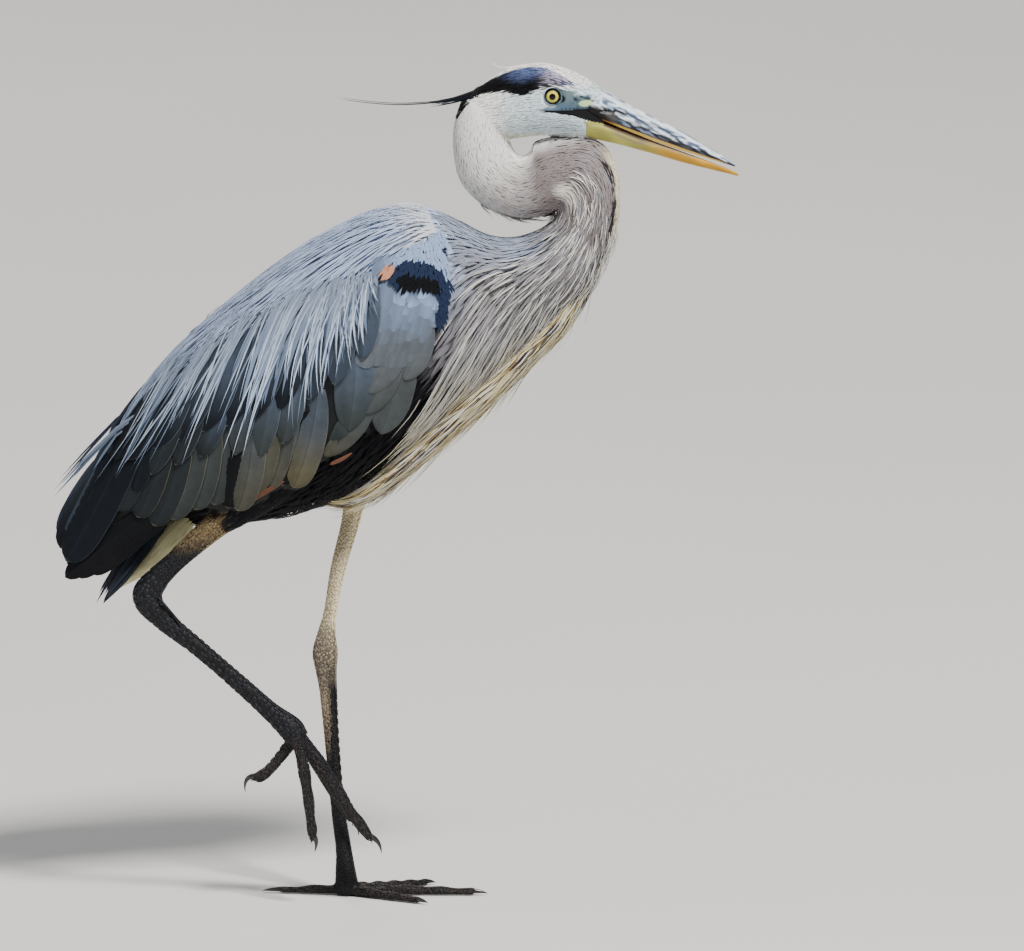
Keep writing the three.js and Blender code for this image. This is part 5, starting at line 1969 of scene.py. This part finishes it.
def culmen_height(x):
    return np.interp(x, BILL_ROWS, [764, 759.5, 750.5, 735.5, 721, 707.5, 697.5, 690])


def streaks(points, long, fine, seed):
    """Smooth blotches from 0 to 1, drawn out along the bill."""
    x, y, z = (points[..., k] for k in range(3))
    along, up = x * 0.89 - z * 0.45, x * 0.45 + z * 0.89
    wave = np.sin(along / long + 2.1 * np.sin(up / fine + seed) + seed)
    wave = wave + np.sin(along / long * 0.37 + up / fine * 1.3 + y * 0.5)
    return np.clip(wave / 3.4 + 0.5, 0, 1)


def nostril(points):
    """How near each point is to the slit of the nostril and the groove before it, from 0 to 1."""
    x, z = points[..., 0], points[..., 2]
    line = np.interp(x, [222, 240, 251, 258, 266, 300, 330],
                     [741.8, 742.2, 741.4, 739.2, 735.8, 720.8, 706.2])
    slit = smooth(np.abs(z - line), 2.0, 1.0) * smooth(x, 232, 240) * smooth(x, 270, 258)
    groove = smooth(np.abs(z - line), 1.6, 0.4) * smooth(x, 258, 268) * smooth(x, 322, 290)
    return slit, groove


def upper_bill_colour(points):
    """Blue-grey horn with pale and dark blotches, a dark band, the nostril and a yellow cutting edge. A
    painted highlight runs along the top, and the nostril's slit and groove are painted shade.
    """
    x, z = points[..., 0], points[..., 2]
    edge, top = tomium_height(x), culmen_height(x)
    high = np.clip((z - edge) / np.maximum(top - edge, 0.5), 0, 1)
    long, short = streaks(points, 5.5, 1.9, 1.0), streaks(points, 2.4, 1.0, 5.0)
    blotch = long * 0.5 + short * 0.5
    ragged = (short - 0.5) * 0.12
    rows = [240, 256, 330]
    none, full = np.interp(x, rows, [0.52, 0.46, 0.56]), np.interp(x, rows, [0.4, 0.38, 0.46])
    band = smooth(high + ragged, none, full)
    inner = smooth(np.abs(high - 0.3 + ragged), 0.07, 0.03) * smooth(x, 250, 262) * smooth(x, 300, 280)
    ridge = smooth(np.abs(high - 0.44), 0.07, 0.02) * smooth(x, 244, 252) * smooth(x, 325, 300)
    slit, groove = nostril(points)
    rim = np.interp(x, [228, 240, 256, 280, 310, 340], [1.4, 2.6, 3.5, 3.9, 3.2, 1.7])
    under = z - edge
    pale = layered(TOMIUM_RUST, (TOMIUM, smooth(x, 240, 258)),
                   (TOMIUM_RUST, smooth(under, rim - 1.2, rim - 0.2) * 0.5))
    return layered(
        BILL_BLUE,
        (BILL_PALE, smooth(blotch, 0.5, 0.64)),
        (BILL_SHADE, smooth(blotch, 0.52, 0.42) * 0.95),
        # A pale band along the top of the bill is a painted highlight.
        (BILL_PALE, smooth(high, 0.76, 0.86) * smooth(high, 1.0, 0.93) * 0.8),
        (BILL_PALE, ridge * 0.8),
        (blend(BILL_BROWN, BILL_BLACK, smooth(x, 240, 256)), band * 0.95),
        (BILL_BLUE * 0.8, inner * smooth(short, 0.3, 0.6) * 0.7),
        (BLACK * 0.5, smooth(z, edge + 12, edge + 9) * smooth(x, 252, 240)),
        (BILL_BROWN * 1.6, smooth(np.hypot((x - 246) / 8, (under - 8.5) / 2), 1.1, 0.5) * 0.8),
        # The nostril's slit and the groove before it are painted dark, painted shade in the recess.
        (BILL_BLACK * 0.4, np.maximum(slit, groove * 0.55)),
        (pale, smooth(under, rim + 0.4, rim - 0.4) * smooth(x, 228, 236) * smooth(x, 356, 340)))


def lower_bill_colour(points):
    """Green at the base and orange towards the tip, with a mauve patch and a dark band along the edge."""
    x, z = points[..., 0], points[..., 2]
    deep = tomium_height(x) - z
    blotch = streaks(points, 6.0, 3.0, 3.0)
    mauve = smooth(np.hypot((x - 264) / 22, (deep - 5.5) / 3.6), 1.1, 0.5)
    band = smooth(deep, 4.6, 2.8) * smooth(x, 292, 270)
    horn = layered(BILL_GREEN, (BILL_ORANGE, smooth(x, 262, 310)),
                   (BILL_MAUVE, mauve * smooth(blotch, 0.25, 0.55) * 0.8))
    return layered(
        horn * (0.88 + 0.24 * blotch)[..., None],
        (BILL_MAUVE * 0.8, smooth(deep, 4.0, 2.6) * smooth(x, 262, 275) * smooth(x, 335, 320) * 0.8),
        (BILL_MAROON, band * 0.95),
        (BLACK * 0.6, smooth(x, 242, 232) * band))


CREST_LINE = [(128, 760), (98, 751), (70, 747.5), (42, 747), (14, 749.5), (-8, 753)]


def make_crest():
    """Two long black plumes from the nape, with shorter ones at their root."""
    count = 16
    steps = ring_steps(22)
    first = np.arange(count) == 0
    for side, sign in SIDES:
        rng = draws(70 + sign)
        far = np.where(first, 1.0, 0.14 + 0.24 * rng.random(count))[:, None]
        spread = np.where(first, 0, rng.random(count) - 0.35)[:, None]
        start = np.where(first, 0, (rng.random(count) - 0.6) * 6)[:, None]
        place = spline(CREST_LINE, far * steps)
        x = place[..., 0] + np.abs(start) * 0.8
        y = sign * (1.9 + 3.1 * far * steps + spread * 4.5 * steps ** 0.5)
        z = place[..., 1] + (start * (1 - 0.3 * steps) - spread * 9 * far * steps ** 2)
        width = np.where(first, 2.6, 2.0 + rng.random(count))[:, None] * MM
        profile = np.interp(steps, [0, 0.15, 0.5, 0.85, 1], [0.8, 1.0, 0.75, 0.4, 0.0])
        high = np.maximum(width * 0.3, 0.5 * MM) * profile
        tints = blend(BLACK, NAVY, smooth(steps, 0.3, 0.9) * 0.5)
        strands(f"crest_feathers_{side}", "crest", np.stack([x, y, z], -1) * MM, (0.0, 0.35 * sign, 1.0),
                width / 2 * profile, high, tints, 0.5, PLUME, f"crest_{side}")


refine_face()
LID_SKIN = leather_finish("eyelid", 0.5, 0.2)
make_eyes()
make_bill()
make_crest()

# ==== the skin's own colours


def finish_skin():
    """Gives the skin the colours of the feathers that leave it and of the bare legs."""
    sources = list(coat_roots)
    shares, turns = np.meshgrid(np.linspace(0, 1, 50), np.linspace(-math.pi, math.pi, 16))
    share, turn = shares.ravel(), turns.ravel()
    for name, form in LIMB_FORMS.items():
        if not name.startswith("thigh"):
            place = form.at(share, turn)
            sources.append((place, leg_colour(name, turn, place / MM) * 0.7))
    places, tints = (np.concatenate(parts) for parts in zip(*sources))
    tree = point_tree(places)
    mesh = skin.data
    points = coords(mesh)
    tints = np.array([tints[tree.find(point)[1]] for point in points])
    points = points / MM
    x, y, z = points.T
    wing = within(WING_OUTLINE, x, z) & (z < line_at(SCAPULAR_LINE, x) - 10) & (z < 604)
    face = (bare_face(x, z) | (eye_reach(x, z) < LID_RADIUS + 1.5)) & (np.abs(y) > FACE_HALF)
    set_tint(mesh, layered(tints, (DARK_SLATE * 0.6, wing), (face_colour(points), face)))
    press_down(mesh)
    mesh.materials.clear()
    mesh.materials.append(LEG_SKIN)
    mesh.polygons.foreach_set("use_smooth", np.ones(len(mesh.polygons), bool))
    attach(skin, "root")
    legs = [f"{part}_{side}" for part in ("thigh", "shank", "tarsus") for side in ("left", "right")]
    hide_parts("head", "neck_upper", "neck_middle", "neck_lower", "trunk", *legs, *TOE_FORMS)


finish_skin()

# ==== floor, light and camera


def make_stage():
    bpy.ops.mesh.primitive_plane_add(size=400)
    floor = bpy.context.object
    floor.name = "floor"
    shade = Shade("pale floor", Roughness=0.85)
    stops = [(0.3, paint("#d3d2cf")), (0.7, paint("#d8d7d4"))]
    colour = shade.node("ShaderNodeValToRGB", {"stops": stops}, {"Fac": shade.noise(0.8)})
    floor.data.materials.append(shade.feed(Base_Color=colour))
    world = bpy.data.worlds.new("studio")
    world.use_nodes = True
    sky = world.node_tree.nodes["Background"].inputs
    sky["Color"].default_value = (0.80, 0.84, 0.90, 1)
    sky["Strength"].default_value = 0.26
    bpy.context.scene.world = world


def add_light(name, place, size, power, colour):
    light = bpy.data.lights.new(name, "AREA")
    light.size = size
    light.energy = power
    light.color = colour
    lamp = bpy.data.objects.new(name, light)
    lamp.location = place
    lamp.rotation_euler = (Vector(LOOK_AT) - Vector(place)).to_track_quat("-Z", "Y").to_euler()
    bpy.context.scene.collection.objects.link(lamp)


LOOK_AT = (0.155, 0.0, 0.3968)
CAMERA_RISE = math.radians(10)
CAMERA_AWAY = 30.0
VIEW_WIDTH = 0.952


def make_camera():
    data = bpy.data.cameras.new("camera")
    data.sensor_width = 36
    data.lens = data.sensor_width * CAMERA_AWAY / VIEW_WIDTH
    camera = bpy.data.objects.new("camera", data)
    back = Vector((0, -math.cos(CAMERA_RISE), math.sin(CAMERA_RISE)))
    camera.location = Vector(LOOK_AT) + back * CAMERA_AWAY
    camera.rotation_euler = (-back).to_track_quat("-Z", "Y").to_euler()
    bpy.context.scene.collection.objects.link(camera)
    bpy.context.scene.camera = camera


make_stage()
add_light("key", (3.5, -4.8, 8.8), 2.0, 1900, (1.0, 0.97, 0.92))
add_light("fill", (-6.0, -5.0, 3.5), 4.0, 110, (0.90, 0.95, 1.0))
add_light("rim", (-2.0, 6.5, 6.0), 3.0, 260, (1.0, 0.98, 0.95))
make_camera()
